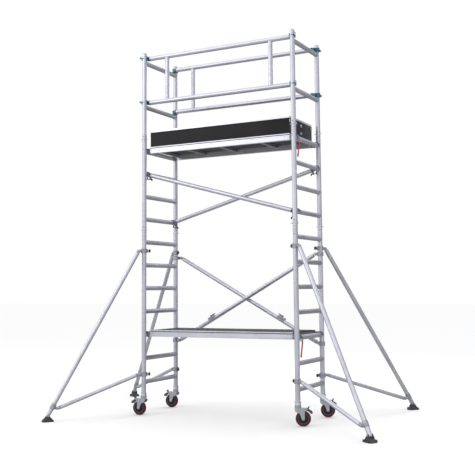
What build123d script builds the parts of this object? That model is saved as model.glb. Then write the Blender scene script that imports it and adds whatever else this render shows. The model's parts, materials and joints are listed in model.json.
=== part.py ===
from build123d import *

import os
from math import cos, radians, sin

# A mobile access tower: ladder frames on castors, two platforms, guardrails, toe boards and
# four stabilisers. Millimetres, +Z up, X along the platforms; the origin is on the floor
# under the tower's centre, and the front is -Y.

# ---- driving dimensions -------------------------------------------------------------
frame_length = 1800.0  # between upright centres along X
frame_width = 650.0  # between upright centres along Y
tube_d = 50.0  # uprights, guardrails
tube_r = tube_d / 2
rung_d = tube_d - 2.0
tube_wall = 2.0
foot_height = 200.0  # floor to the uprights' lower ends
guard_frame_height = 1000.0
rung_pitch = 250.0
first_rung = 150.0  # lower end of a ladder frame to its first rung
base_rungs = 7
upper_rungs = 4
base_frame_height = base_rungs * rung_pitch
upper_frame_height = upper_rungs * rung_pitch
guard_rungs = (400.0, 900.0)  # lower end of a guard frame to its rungs
lower_deck_rung = 2  # counted from 0, in the base frame
upper_deck_rung = 3  # counted from 0, in the upper frame

fit = 0.05  # radial clearance of a running fit
slip = 0.25  # radial clearance where one fixed piece slides over another
gap = 0.4  # between flat faces of pieces that move past each other

spigot_length = 220.0
spigot_wall = 3.0
spigot_slip = 0.2
clip_rise = 30.0  # lower end of a frame to its locking pin
clip_pin_d = 8.0
clip_band = 2.5
clip_width = 10.0
cap_height = 15.0

guardrail_inset = tube_r + 20.0  # guardrail tubes inside the plane of the uprights
guardrail_rise = 52.0  # guardrail tubes above the guard frames' rungs
guardrail_reach = tube_r + 14.0  # guardrail tube end short of the upright's centre
post_inset = 270.0  # guardrail posts from the uprights
claw_wall = 9.0
claw_width = 44.0
latch_d = 9.0  # sprung bolt that closes a guardrail claw
latch_space = 1.5  # between the bolt and the upright
latch_overlap = 6.0  # bolt's end past the upright's middle
latch_knob_d = 16.0

brace_d = 45.0
brace_inset = tube_r + 30.0  # diagonal braces inside the plane of the uprights
brace_neck = 62.0  # rung centre to the end of the brace's tube
brace_claw_wall = 10.0
brace_claw_width = 30.0
trigger_drop = 54.0  # rung's centre to a brace trigger's bar
trigger_bar = 8.0
trigger_length = 68.0
trigger_nose = 10.0
trigger_guide = (36.0, 52.0)  # limits of the guide, from the rung's centre

fold_brace_gap = 50.0  # between the planes of the folding brace's two tubes
fold_brace_top_rise = 95.0  # above the last rung but one of the base
fold_brace_bottom_rise = 155.0  # above the second rung of the base
fold_brace_elbow = 0.74  # share of each tube above its elbow
fold_brace_lug = tube_r + 29.0  # upright centre to the folding brace's end pins
fold_brace_end = 26.0  # end pin to the end of the tube
fold_lock_rise = 42.0  # tube's centre to the lock lever's pin
collar_wall = 8.0
collar_height = 44.0

stabiliser_top_rise = 155.0  # above the last rung but one of the base
stabiliser_bottom_rise = 80.0  # above the first rung
stabiliser_angle = {"fl": 51.0, "fr": 30.0, "bl": 32.5, "br": 53.0}  # turned out from X
stabiliser_reach = {"fl": 1020.0, "fr": 1045.0, "bl": 1200.0, "br": 1145.0}  # to the foot's pivot
strut_d = 45.0
arm_d = 40.0
clamp_wall = 9.0
clamp_height = 48.0
clamp_pin_reach = tube_r + 35.0
tongue = 15.0
pin_d = 10.0
arm_lug_height = 150.0
foot_pivot_height = 60.0
foot_length = 120.0
foot_width = 90.0
foot_base = 34.0

wheel_d = 150.0
tread = 15.0
tread_width = 40.0
wheel_hub_width = 46.0
castor_trail = 50.0
fork_sheet = 5.0
fork_back = 34.0  # king pin to the back of the fork
fork_front = 96.0  # king pin to the front of the fork
fork_brow = 28.0  # height of the fork's legs at their upper corners
axle_boss = 20.0
fork_gap = 50.0
fork_top = foot_height - 24.0
axle_d = 12.0
king_pin_d = 14.0
castor_angle_left = 184.0
castor_angle_right = 22.0
pedal_pivot = (84.0, fork_top - 16.0)  # along the trail, and height

beam_height = 70.0
beam_width = 30.0
beam_wall = 2.5
beam_short = 60.0  # end of a beam to the plane of the uprights
deck_rise = 50.0  # rung centre to deck top
deck_thick = 12.0
deck_margin = tube_r + 5.0  # plane of the uprights to a beam's outer face
crossbar_width = 40.0
crossbar_height = 28.0
crossbar_places = (-470.0, -70.0, 430.0)
hook_wall = 12.0
hatch_hinge_inset = 70.0  # from the beam behind the hatch
hatch_play = 2.0
hinge_pin_d = 6.0
hinge_barrel_d = 11.0
hinge_barrel = 60.0
hinge_knuckle = 18.0
hinge_inset = 90.0

latch_plate = 5.0
latch_width = 13.0
latch_grip = 30.0
latch_drop = 200.0  # pivot to the grip's lower edge
latch_lean = 18.0  # the lever's lower end, inwards of the pivot

toe_board_height = 160.0
toe_board_thick = 18.0
toe_cap = 20.0

# ---- places worked out from them ----------------------------------------------------
half_length = frame_length / 2
half_width = frame_width / 2
rung_r = rung_d / 2
bore_r = tube_r - tube_wall
seam_1 = foot_height + base_frame_height
seam_2 = seam_1 + upper_frame_height
corners = {"fl": (-1, -1), "fr": (1, -1), "bl": (-1, 1), "br": (1, 1)}
sides = {"left": -1, "right": 1}
base_rung_z = [foot_height + first_rung + n * rung_pitch for n in range(base_rungs)]
upper_rung_z = [seam_1 + first_rung + n * rung_pitch for n in range(upper_rungs)]
guard_rung_z = [seam_2 + rise for rise in guard_rungs]
lower_deck_z = base_rung_z[lower_deck_rung]
upper_deck_z = upper_rung_z[upper_deck_rung]
stabiliser_top = base_rung_z[-2] + stabiliser_top_rise
stabiliser_bottom = base_rung_z[0] + stabiliser_bottom_rise
fold_brace_top = base_rung_z[-2] + fold_brace_top_rise
fold_brace_bottom = base_rung_z[1] + fold_brace_bottom_rise
rail_z = [z + guardrail_rise for z in guard_rung_z]
rail_y = half_width - guardrail_inset
rail_end = half_length - guardrail_reach
post_place = half_length - post_inset
latch_offset = tube_r + latch_space + latch_d / 2
beam_outer = half_width - deck_margin
beam_middle = beam_outer - beam_width / 2
beam_inner = beam_outer - beam_width
beam_half = half_length - beam_short
hatch_hinge_y = beam_inner - hatch_hinge_inset

os.makedirs("parts", exist_ok=True)


# ---- helpers ------------------------------------------------------------------------
def save(label, pieces):
    """Write the separate pieces of one node to its STEP file."""
    node = Compound(label=label, children=pieces)
    export_step(node, f"parts/{label}.step")


def tube(start, end, diameter, wall):
    """Add a round tube from start to end to the part that is being built."""
    axis = Vector(end) - Vector(start)
    with BuildSketch(Plane(origin=start, z_dir=axis)) as profile:
        Circle(diameter / 2)
        Circle(diameter / 2 - wall, mode=Mode.SUBTRACT)
    extrude(profile.sketch, amount=axis.length)


def rod(start, end, diameter, mode=Mode.ADD):
    """Add a round bar from start to end, or cut one away."""
    axis = Vector(end) - Vector(start)
    with BuildSketch(Plane(origin=start, z_dir=axis)) as profile:
        Circle(diameter / 2)
    extrude(profile.sketch, amount=axis.length, mode=mode)


def ring(x, y, z, inner_r, outer_r, height):
    """Add a ring around a vertical tube, centred on height z."""
    with BuildSketch(Plane.XY.offset(z - height / 2)) as profile:
        with Locations((x, y)):
            Circle(outer_r)
            Circle(inner_r, mode=Mode.SUBTRACT)
    extrude(profile.sketch, amount=height)


def front_plane(y):
    """The plane at depth y, seen from the front: sketch X is X and sketch Y is Z."""
    return Plane(origin=(0, y, 0), x_dir=(1, 0, 0), z_dir=(0, -1, 0))


def corner_plane(corner, angle):
    """Upright plane through an upright's axis: sketch X runs outwards at angle, sketch Y up."""
    side, end = corners[corner]
    outwards = Vector(side * cos(radians(angle)), end * sin(radians(angle)), 0)
    origin = (side * half_length, end * half_width, 0)
    return Plane(origin=origin, x_dir=outwards, z_dir=outwards.cross(Vector(0, 0, 1)))


def castor_plane(corner):
    """Upright plane through an upright's axis: sketch X runs along the castor's trail."""
    side, end = corners[corner]
    angle = radians(castor_angle_left if side < 0 else castor_angle_right)
    trail = Vector(cos(angle), sin(angle), 0)
    origin = (side * half_length, end * half_width, 0)
    return Plane(origin=origin, x_dir=trail, z_dir=trail.cross(Vector(0, 0, 1)))


# ---- end frames ---------------------------------------------------------------------
def upright(x, y, bottom, height):
    """One upright, with the hole for the locking pin near its lower end."""
    with BuildPart() as post:
        tube((x, y, bottom), (x, y, bottom + height), tube_d, tube_wall)
        pin_z = bottom + clip_rise
        rod((x - tube_d, y, pin_z), (x + tube_d, y, pin_z), clip_pin_d, Mode.SUBTRACT)
    return post.part


def rung(x, z):
    """One rung between two uprights, its ends coped to fit round them."""
    with BuildPart() as bar:
        tube((x, -half_width, z), (x, half_width, z), rung_d, tube_wall)
        with Locations((x, -half_width, z), (x, half_width, z)):
            Cylinder(tube_r, 2 * tube_d, mode=Mode.SUBTRACT)
    return bar.part


def end_frame(label, side, bottom, height, rung_heights):
    """A welded ladder frame: two uprights and their rungs."""
    x = side * half_length
    posts = [upright(x, end * half_width, bottom, height) for end in (-1, 1)]
    save(label, posts + [rung(x, z) for z in rung_heights])


for name, side in sides.items():
    end_frame(f"base_frame_{name}", side, foot_height, base_frame_height, base_rung_z)
    end_frame(f"upper_frame_{name}", side, seam_1, upper_frame_height, upper_rung_z)
    end_frame(f"guard_frame_{name}", side, seam_2, guard_frame_height, guard_rung_z)


def spigot(x, y, seam):
    """The sleeve inside two uprights that joins them end to end."""
    with BuildPart() as sleeve:
        start = (x, y, seam - spigot_length / 2)
        end = (x, y, seam + spigot_length / 2)
        tube(start, end, 2 * (bore_r - spigot_slip), spigot_wall)
        pin_z = seam + clip_rise
        rod((x - tube_d, y, pin_z), (x + tube_d, y, pin_z), clip_pin_d, Mode.SUBTRACT)
    return sleeve.part


def locking_clip(x, y, z, end):
    """A spring clip: a pin through both tubes, and a band round the outside that holds it."""
    with BuildPart() as clip:
        inner_r = tube_r + slip
        ring(x, y, z, inner_r, inner_r + clip_band, clip_width)
        with BuildSketch(Plane.XY.offset(z - clip_width)):
            with Locations((x, y - end * (inner_r + clip_band) / 2)):
                Rectangle(3 * tube_d, inner_r + clip_band)
        extrude(amount=2 * clip_width, mode=Mode.SUBTRACT)
        reach = tube_r + clip_band + 2 * clip_rise / 5
        rod((x - reach, y, z), (x + reach, y, z), clip_pin_d - 2 * fit)
    return clip.part


def cap(x, y):
    """A domed plastic cap with a plug that fits in the top of an upright."""
    top = seam_2 + guard_frame_height
    with BuildPart() as dome:
        with BuildSketch(Plane.XY.offset(top)):
            with Locations((x, y)):
                Circle(tube_r)
        extrude(amount=cap_height)
        fillet(dome.faces().sort_by(Axis.Z)[-1].edges(), cap_height * 0.8)
        rod((x, y, top - tube_d / 2), (x, y, top), 2 * (bore_r - spigot_slip))
    return dome.part


corner_places = [(side * half_length, end * half_width) for side, end in corners.values()]
save("frame_spigots", [spigot(x, y, seam) for x, y in corner_places for seam in (seam_1, seam_2)])
save(
    "locking_clips",
    [
        locking_clip(side * half_length, end * half_width, bottom + clip_rise, end)
        for side, end in corners.values()
        for bottom in (foot_height, seam_1, seam_2)
    ],
)
save("upright_caps", [cap(x, y) for x, y in corner_places])


# ---- guardrails ---------------------------------------------------------------------
def rail(y, z):
    """One horizontal guardrail tube."""
    with BuildPart() as bar:
        tube((-rail_end, y, z), (rail_end, y, z), tube_d, tube_wall)
    return bar.part


def rail_post(x, y):
    """One post between the two guardrail tubes, coped to fit them."""
    with BuildPart() as post:
        tube((x, y, rail_z[0]), (x, y, rail_z[1]), rung_d, tube_wall)
        for z in rail_z:
            rod((x - tube_d, y, z), (x + tube_d, y, z), tube_d, Mode.SUBTRACT)
    return post.part


def guardrail(label, end):
    """A guardrail frame: two rails and two posts."""
    y = end * rail_y
    posts = [rail_post(side * post_place, y) for side in (-1, 1)]
    save(label, [rail(y, z) for z in rail_z] + posts)


def guardrail_claw(side, end, z):
    """The claw at one rail end: a plug in the rail, a neck, and jaws round the upright."""
    x = side * half_length
    y = end * half_width
    inner_r = tube_r + slip
    outer_r = inner_r + claw_wall
    neck = claw_width - 8
    with BuildPart() as claw:
        ring(x, y, z, inner_r, outer_r, claw_width)
        with BuildSketch(Plane.XY.offset(z - neck / 2)):
            with Locations((side * (rail_end + outer_r / 2), end * rail_y)):
                Rectangle(outer_r, neck)
        extrude(amount=neck)
        with BuildSketch(Plane.XY.offset(z - claw_width)):
            with Locations((x, y + end * (outer_r / 2 + 6))):
                Rectangle(3 * tube_d, outer_r)
        extrude(amount=2 * claw_width, mode=Mode.SUBTRACT)
        rod((x, y, z - claw_width), (x, y, z + claw_width), 2 * inner_r, Mode.SUBTRACT)
        plug_start = (side * (rail_end - tube_d / 2), end * rail_y, z)
        rod(plug_start, (side * rail_end, end * rail_y, z), 2 * (bore_r - spigot_slip))
        arm = latch_offset + latch_d
        with Locations((side * (half_length + outer_r - claw_wall / 2), y + end * arm / 2, z)):
            Box(claw_wall, arm, latch_d + 10)
        bolt_y = y + end * latch_offset
        rod((x, bolt_y, z), (x + side * tube_d, bolt_y, z), latch_d + 2 * fit, Mode.SUBTRACT)
    return claw.part


def guardrail_latch(side, end, z):
    """The sprung bolt, with its knob, that slides in the outer jaw and closes the claw."""
    y = end * (half_width + latch_offset)
    knob_x = half_length + tube_r + slip + claw_wall + gap
    with BuildPart() as latch:
        inner_x = half_length - latch_overlap
        rod((side * inner_x, y, z), (side * knob_x, y, z), latch_d)
        rod((side * knob_x, y, z), (side * (knob_x + latch_d), y, z), latch_knob_d)
    return latch.part


guardrail("front_guardrail", -1)
guardrail("back_guardrail", 1)
save(
    "guardrail_claws",
    [guardrail_claw(side, end, z) for side, end in corners.values() for z in rail_z],
)
for name, side in sides.items():
    latches = [guardrail_latch(side, end, z) for end in (-1, 1) for z in rail_z]
    save(f"guardrail_latches_{name}", latches)


# ---- diagonal braces ----------------------------------------------------------------
brace_y = half_width - brace_inset
brace_low = upper_rung_z[0]
brace_high = upper_rung_z[2]


def brace_ends(end):
    """The two rung centres that a diagonal brace hooks on, high end first."""
    high = Vector(end * half_length, end * brace_y, brace_high)
    low = Vector(-end * half_length, end * brace_y, brace_low)
    return high, low


def diagonal_brace(end):
    """The tube of one diagonal brace."""
    high, low = brace_ends(end)
    along = (low - high).normalized()
    with BuildPart() as brace:
        start = high + along * brace_neck
        tube(start, (low - along * brace_neck), brace_d, tube_wall)
    return brace.part


def brace_claw(hook, other):
    """A hook over a rung, with a neck that plugs into the brace's tube."""
    along = (other - hook).normalized()
    inner_r = rung_r + slip
    outer_r = inner_r + brace_claw_wall
    tube_start = hook + along * brace_neck
    plug_end = tube_start + along * brace_d
    inwards = 1 if other.X > hook.X else -1
    with BuildPart() as claw:
        with BuildSketch(front_plane(hook.Y)):
            with Locations((hook.X, hook.Z)):
                Circle(outer_r)
        extrude(amount=brace_claw_width / 2, both=True)
        rod((hook + along * rung_r), tube_start, brace_claw_width)
        rod(tube_start - along * trigger_bar, tube_start, brace_d)
        rod(tube_start, plug_end, brace_d - 2 * tube_wall - 2 * fit)
        guide_x = hook.X + inwards * sum(trigger_guide) / 2
        guide_length = trigger_guide[1] - trigger_guide[0]
        guide_bottom = trigger_drop + trigger_bar
        with Locations((guide_x, hook.Y, hook.Z - guide_bottom / 2)):
            Box(guide_length, brace_claw_width * 2 / 3, guide_bottom)
        with Locations((guide_x, hook.Y, hook.Z - trigger_drop)):
            slot = trigger_bar + 2 * gap
            Box(2 * guide_length, slot, slot, mode=Mode.SUBTRACT)
        with BuildSketch(front_plane(hook.Y)):
            with Locations((hook.X, hook.Z)):
                Circle(inner_r)
            with Locations((hook.X - inwards * inner_r / 2, hook.Z - tube_d / 2)):
                Rectangle(3 * inner_r, tube_d)
        extrude(amount=brace_claw_width, both=True, mode=Mode.SUBTRACT)
    return claw.part


def brace_trigger(hook, inwards):
    """A sprung trigger in the claw's guide, with a nose that closes below the rung."""
    nose_top = rung_r + 4
    with BuildPart() as trigger:
        with Locations((hook.X + inwards * trigger_length / 2, hook.Y, hook.Z - trigger_drop)):
            Box(trigger_length, trigger_bar, trigger_bar)
        nose_height = trigger_drop + trigger_bar / 2 - nose_top
        nose_z = hook.Z - nose_top - nose_height / 2
        with Locations((hook.X + inwards * trigger_nose / 2, hook.Y, nose_z)):
            Box(trigger_nose, trigger_bar, nose_height)
        tab_x = hook.X + inwards * (trigger_length - trigger_bar / 2)
        with Locations((tab_x, hook.Y, hook.Z - trigger_drop - 1.5 * trigger_bar)):
            Box(trigger_bar, 2 * trigger_bar, 2 * trigger_bar)
    return trigger.part


save("diagonal_braces", [diagonal_brace(end) for end in (-1, 1)])
brace_hooks = [pair for end in (-1, 1) for pair in (brace_ends(end), brace_ends(end)[::-1])]
save("brace_claws", [brace_claw(hook, other) for hook, other in brace_hooks])
for name, side in sides.items():
    hooks = [hook for hook, other in brace_hooks if hook.X * side > 0]
    save(f"brace_triggers_{name}", [brace_trigger(hook, -side) for hook in hooks])


# ---- folding brace across the back of the base --------------------------------------
fold_planes = ((half_width + fold_brace_gap, -1), (half_width, 1))
fold_span = 2 * (half_length - fold_brace_lug)


def fold_points(y, side):
    """Top pin, elbow and bottom pin of the folding tube that starts at the top on side."""
    top = Vector(side * fold_span / 2, y, fold_brace_top)
    bottom = Vector(-side * fold_span / 2, y, fold_brace_bottom)
    return top, top + (bottom - top) * fold_brace_elbow, bottom


def tongue_end(pin, along, reach):
    """Add a flat tongue with a pin's hole, and the plug that holds it in a tube's end."""
    tilt = Vector(along.X, 0, 0).get_angle(along) * (-1 if along.Z * along.X < 0 else 1)
    middle = pin + along * (reach / 2)
    rod(pin + along * (reach - tongue), pin + along * reach, brace_d - tube_wall)
    with BuildSketch(front_plane(pin.Y)) as profile:
        with Locations((pin.X, pin.Z)):
            Circle(tongue)
        with Locations(Location((middle.X, middle.Z), tilt)):
            Rectangle(reach, 2 * tongue)
        with Locations((pin.X, pin.Z)):
            Circle(pin_d / 2 + fit, mode=Mode.SUBTRACT)
    extrude(profile.sketch, amount=tongue / 2, both=True)


def fold_upper_link(y, side):
    """The long upper half of a folding tube, drilled for the pivot where the tubes cross."""
    top, elbow, bottom = fold_points(y, side)
    along = (bottom - top).normalized()
    middle = (top + bottom) * 0.5
    with BuildPart() as link:
        start = top + along * fold_brace_end
        tube(start, (elbow - along), brace_d, tube_wall)
        tongue_end(top, along, fold_brace_end + tongue)
        near = (middle.X, y - brace_d, middle.Z)
        rod(near, (middle.X, y + brace_d, middle.Z), pin_d + 2 * fit, Mode.SUBTRACT)
    return link.part


def fold_lower_link(y, side):
    """The short lower half of a folding tube."""
    top, elbow, bottom = fold_points(y, side)
    along = (bottom - top).normalized()
    with BuildPart() as link:
        end = bottom - along * fold_brace_end
        tube((elbow + along), end, brace_d, tube_wall)
        tongue_end(bottom, along * -1, fold_brace_end + tongue)
    return link.part


def fold_elbow(y, side):
    """The cast saddle over the elbow, with two ears for the lock lever's pin."""
    top, elbow, bottom = fold_points(y, side)
    along = (bottom - top).normalized()
    tilt = Plane(origin=elbow, x_dir=along, z_dir=(0, -1, 0) if along.X > 0 else (0, 1, 0))
    with BuildPart() as saddle:
        with BuildSketch(tilt):
            with Locations((0, brace_d / 4)):
                Rectangle(2 * brace_d, brace_d)
        extrude(amount=brace_d / 2 + 4, both=True)
        fillet(saddle.edges().filter_by(Axis.Y), 6)
        for place in (brace_d / 4, -brace_d / 4):
            with BuildSketch(tilt.offset(place)):
                with Locations((0, fold_lock_rise - 6)):
                    Rectangle(16, 28)
            extrude(amount=3, both=True)
        start = elbow - along * 2 * brace_d
        end = elbow + along * 2 * brace_d
        rod(start, end, brace_d + 2 * slip, Mode.SUBTRACT)
        with BuildSketch(tilt):
            with Locations((0, fold_lock_rise)):
                Circle(4 + fit)
        extrude(amount=brace_d, both=True, mode=Mode.SUBTRACT)
    return saddle.part


def fold_lock(y, side):
    """The lever on top of an elbow that locks it straight, with its pin."""
    top, elbow, bottom = fold_points(y, side)
    along = (bottom - top).normalized()
    tilt = Plane(origin=elbow, x_dir=along, z_dir=(0, -1, 0) if along.X > 0 else (0, 1, 0))
    with BuildPart() as lever:
        with BuildSketch(tilt):
            with Locations((0, fold_lock_rise)):
                Circle(7)
            with Locations((-26, fold_lock_rise + 3)):
                Rectangle(52, 6)
        extrude(amount=brace_d / 4 - 3 - gap, both=True)
        with BuildSketch(tilt):
            with Locations((0, fold_lock_rise)):
                Circle(4)
        extrude(amount=brace_d / 4 + 5, both=True)
    return lever.part


def fold_collar(side, pin_z, y):
    """A cast collar round a back upright, with a forked lug for one end of the brace."""
    x = side * half_length
    pin_x = side * (half_length - fold_brace_lug)
    inner_r = tube_r + slip
    with BuildPart() as collar:
        ring(x, half_width, pin_z, inner_r, inner_r + collar_wall, collar_height)
        reach = half_length - abs(pin_x) - inner_r
        with BuildSketch(Plane.XY.offset(pin_z - tongue)):
            with Locations((pin_x + side * reach / 2, y)):
                Rectangle(reach, 2 * tongue + 2)
            if y > half_width:
                with Locations((x - side * (inner_r + 2), (y + half_width) / 2)):
                    Rectangle(collar_wall, y - half_width)
        extrude(amount=2 * tongue)
        with BuildSketch(front_plane(y)):
            with Locations((pin_x, pin_z)):
                Circle(tongue)
        extrude(amount=tongue + 1, both=True)
        rod((x, half_width, 0), (x, half_width, seam_1), 2 * inner_r, Mode.SUBTRACT)
        with BuildSketch(front_plane(y)):
            with Locations((pin_x, pin_z)):
                Circle(tongue + 2)
            with Locations((pin_x - side * tongue, pin_z)):
                Rectangle(2 * tongue, 4 * tongue)
        extrude(amount=tongue / 2 + gap, both=True, mode=Mode.SUBTRACT)
        rod((pin_x, 0, pin_z), (pin_x, 2 * half_width, pin_z), pin_d + 2 * fit, Mode.SUBTRACT)
    return collar.part


def cross_pin(x, y, z, reach, diameter):
    """A pin or bolt that lies along Y."""
    with BuildPart() as pin:
        rod((x, y - reach, z), (x, y + reach, z), diameter)
    return pin.part


fold_uppers, fold_lowers, fold_elbows, fold_collars = [], [], [], []
for y, side in fold_planes:
    top, elbow, bottom = fold_points(y, side)
    fold_uppers.append(fold_upper_link(y, side))
    fold_lowers.append(fold_lower_link(y, side))
    fold_elbows.append(fold_elbow(y, side))
    fold_collars.append(fold_collar(side, fold_brace_top, y))
    fold_collars.append(fold_collar(-side, fold_brace_bottom, y))
    for pin in (top, bottom):
        fold_collars.append(cross_pin(pin.X, y, pin.Z, tongue + 6, pin_d))
    save(f"fold_brace_lock_{'left' if side > 0 else 'right'}", [fold_lock(y, side)])
cross_y = half_width + fold_brace_gap / 2
cross_z = (fold_brace_top + fold_brace_bottom) / 2
cross_reach = fold_brace_gap / 2 + brace_d / 2 + 6
fold_elbows.append(cross_pin(0, cross_y, cross_z, cross_reach, pin_d))
save("fold_brace_upper_links", fold_uppers)
save("fold_brace_lower_links", fold_lowers)
save("fold_brace_collars", fold_collars)
save("fold_brace_elbows", fold_elbows)


# ---- stabilisers --------------------------------------------------------------------
strut_top = Vector(clamp_pin_reach, stabiliser_top)
arm_top = Vector(clamp_pin_reach, stabiliser_bottom)
lug_share = (stabiliser_top - arm_lug_height) / (stabiliser_top - foot_pivot_height)
tube_gap = 30.0  # end pin to the end of a stabiliser tube


def across(start, end):
    """Unit vector square to the line between two points, turned inwards and down."""
    along = (end - start).normalized()
    return Vector(along.Y, -along.X)


def strut_lug(strut_bottom):
    """Root of the lug on a strut's lower side, and the pin in it that takes the arm."""
    middle = strut_top + (strut_bottom - strut_top) * lug_share
    inwards = across(strut_top, strut_bottom)
    root = middle + inwards * (strut_d / 2 - 3)
    return root, middle + inwards * (strut_d / 2 + 2 * tongue - 4)


def in_plane(plane, point):
    """The place in space of a point of an upright plane's sketch."""
    return plane.from_local_coords((point.X, point.Y, 0))


def stabiliser_tube(plane, start, end, diameter):
    """Add a tube with a plugged end, a flat tongue and a pin hole at each end."""
    along = (end - start).normalized()
    first = in_plane(plane, start + along * tube_gap)
    tube(first, in_plane(plane, end - along * tube_gap), diameter, tube_wall)
    tilt = Axis((0, 0, 0), (1, 0, 0)).direction.get_signed_angle(along, Vector(0, 0, 1))
    for pin, way in ((start, 1), (end, -1)):
        middle = pin + along * (way * (tube_gap + tongue) / 2)
        plug_start = in_plane(plane, pin + along * (way * tube_gap))
        plug_end = in_plane(plane, pin + along * (way * (tube_gap + tongue)))
        rod(plug_start, plug_end, diameter - tube_wall)
        with BuildSketch(plane) as profile:
            with Locations((pin.X, pin.Y)):
                Circle(tongue)
            with Locations(Location((middle.X, middle.Y), tilt)):
                Rectangle(tube_gap + tongue, 2 * tongue)
            with Locations((pin.X, pin.Y)):
                Circle(pin_d / 2 + fit, mode=Mode.SUBTRACT)
        extrude(profile.sketch, amount=tongue / 2, both=True)


def fork_lug(plane, root, pin, half_height):
    """Add a forked lug that reaches from root to a pin, open for a tongue."""
    along = (pin - root).normalized()
    tilt = Vector(1, 0, 0).get_signed_angle(along, Vector(0, 0, 1))
    middle = (root + pin) * 0.5
    with BuildSketch(plane) as profile:
        with Locations(Location((middle.X, middle.Y), tilt)):
            Rectangle((pin - root).length, 2 * half_height)
        with Locations((pin.X, pin.Y)):
            Circle(half_height)
    extrude(profile.sketch, amount=tongue, both=True)
    with BuildSketch(plane) as profile:
        with Locations((pin.X, pin.Y)):
            Circle(tongue + 4)
        with Locations(Location((pin.X + along.X * tongue, pin.Y + along.Y * tongue), tilt)):
            Rectangle(2 * tongue, 3 * tongue)
    extrude(profile.sketch, amount=tongue / 2 + gap, both=True, mode=Mode.SUBTRACT)
    with BuildSketch(plane) as profile:
        with Locations((pin.X, pin.Y)):
            Circle(pin_d / 2 + fit)
    extrude(profile.sketch, amount=2 * tongue, both=True, mode=Mode.SUBTRACT)


def stabiliser_pin(plane, point, diameter, reach):
    """A pin across the stabiliser's plane."""
    with BuildPart() as pin:
        with BuildSketch(plane):
            with Locations((point.X, point.Y)):
                Circle(diameter / 2)
        extrude(amount=reach, both=True)
    return pin.part


def stabiliser_clamp(plane, z):
    """A clamp round the upright, with a forked lug outside and a wing handle inside."""
    inner_r = tube_r + fit
    outer_r = inner_r + clamp_wall
    x, y = plane.origin.X, plane.origin.Y
    with BuildPart() as clamp:
        ring(x, y, z, inner_r, outer_r, clamp_height)
        root = Vector(outer_r - 3, z)
        fork_lug(plane, root, Vector(clamp_pin_reach, z), tongue)
        handle = in_plane(plane, Vector(-outer_r - 36, z))
        rod(in_plane(plane, Vector(-outer_r + 2, z)), handle, 10)
        with BuildSketch(plane):
            with Locations((-outer_r - 36, z)):
                Rectangle(8, 30)
        extrude(amount=5, both=True)
    return clamp.part


def stabiliser_strut(plane, strut_bottom):
    """The long strut, with the forked lug that takes the lower arm."""
    root, arm_bottom = strut_lug(strut_bottom)
    with BuildPart() as strut:
        stabiliser_tube(plane, strut_top, strut_bottom, strut_d)
        fork_lug(plane, root, arm_bottom, tongue)
    return strut.part


def stabiliser_arm(plane, arm_bottom):
    """The lower arm from the bottom clamp to the strut."""
    with BuildPart() as arm:
        stabiliser_tube(plane, arm_top, arm_bottom, arm_d)
    return arm.part


def stabiliser_foot(plane, place):
    """The rubber foot: a spreading pad with two ears round the strut's end."""
    ear_in = tongue / 2 + 2
    ear_out = ear_in + 11
    half = foot_length / 2
    with BuildPart() as foot:
        with BuildSketch(plane):
            with BuildLine():
                Polyline(
                    (place - half, 0),
                    (place + half, 0),
                    (place + half - 14, foot_base),
                    (place - half + 14, foot_base),
                    close=True,
                )
            make_face()
        extrude(amount=foot_width / 2, both=True)
        with BuildSketch(plane):
            with Locations((place, foot_pivot_height)):
                Circle(16)
            with Locations((place, foot_pivot_height / 2 + foot_base / 4)):
                Rectangle(32, foot_pivot_height - foot_base / 2)
        extrude(amount=ear_out, both=True)
        with BuildSketch(plane):
            with Locations((place, foot_pivot_height)):
                Circle(tongue + 5)
            with Locations((place, foot_pivot_height + tongue)):
                Rectangle(3 * tongue, 2 * tongue)
        extrude(amount=ear_in, both=True, mode=Mode.SUBTRACT)
        with BuildSketch(plane):
            with Locations((place, foot_pivot_height)):
                Circle(pin_d / 2 + fit)
        extrude(amount=foot_width, both=True, mode=Mode.SUBTRACT)
    return foot.part


for corner in corners:
    plane = corner_plane(corner, stabiliser_angle[corner])
    strut_bottom = Vector(stabiliser_reach[corner], foot_pivot_height)
    arm_bottom = strut_lug(strut_bottom)[1]
    pins = [stabiliser_pin(plane, point, pin_d, tongue + 6) for point in (strut_top, arm_top)]
    pins.append(stabiliser_pin(plane, arm_bottom, pin_d, tongue + 6))
    pins.append(stabiliser_pin(plane, strut_bottom, pin_d, tongue / 2 + 18))
    tubes = [stabiliser_strut(plane, strut_bottom), stabiliser_arm(plane, arm_bottom)]
    save(f"stabiliser_struts_{corner}", tubes + pins)
    clamps = [stabiliser_clamp(plane, z) for z in (stabiliser_top, stabiliser_bottom)]
    save(f"stabiliser_clamps_{corner}", clamps)
    foot = stabiliser_foot(plane, strut_bottom.X)
    foot.label = f"stabiliser_foot_{corner}"
    export_step(foot, f"parts/stabiliser_foot_{corner}.step")


# ---- castors ------------------------------------------------------------------------
def castor_stem(corner):
    """The fixed part of a castor: stem in the upright, flange, race and king pin."""
    plane = castor_plane(corner)
    x, y = plane.origin.X, plane.origin.Y
    with BuildPart() as stem:
        rod((x, y, foot_height), (x, y, foot_height + 110), 2 * (bore_r - spigot_slip))
        rod((x, y, fork_top + gap), (x, y, foot_height), 62)
        rod((x, y, fork_top - 13), (x, y, fork_top + gap), king_pin_d)
        rod((x, y, fork_top - 13), (x, y, fork_top - fork_sheet - gap), 26)
        pin_z = foot_height + clip_rise
        rod((x - tube_d, y, pin_z), (x + tube_d, y, pin_z), clip_pin_d, Mode.SUBTRACT)
    return stem.part


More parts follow.
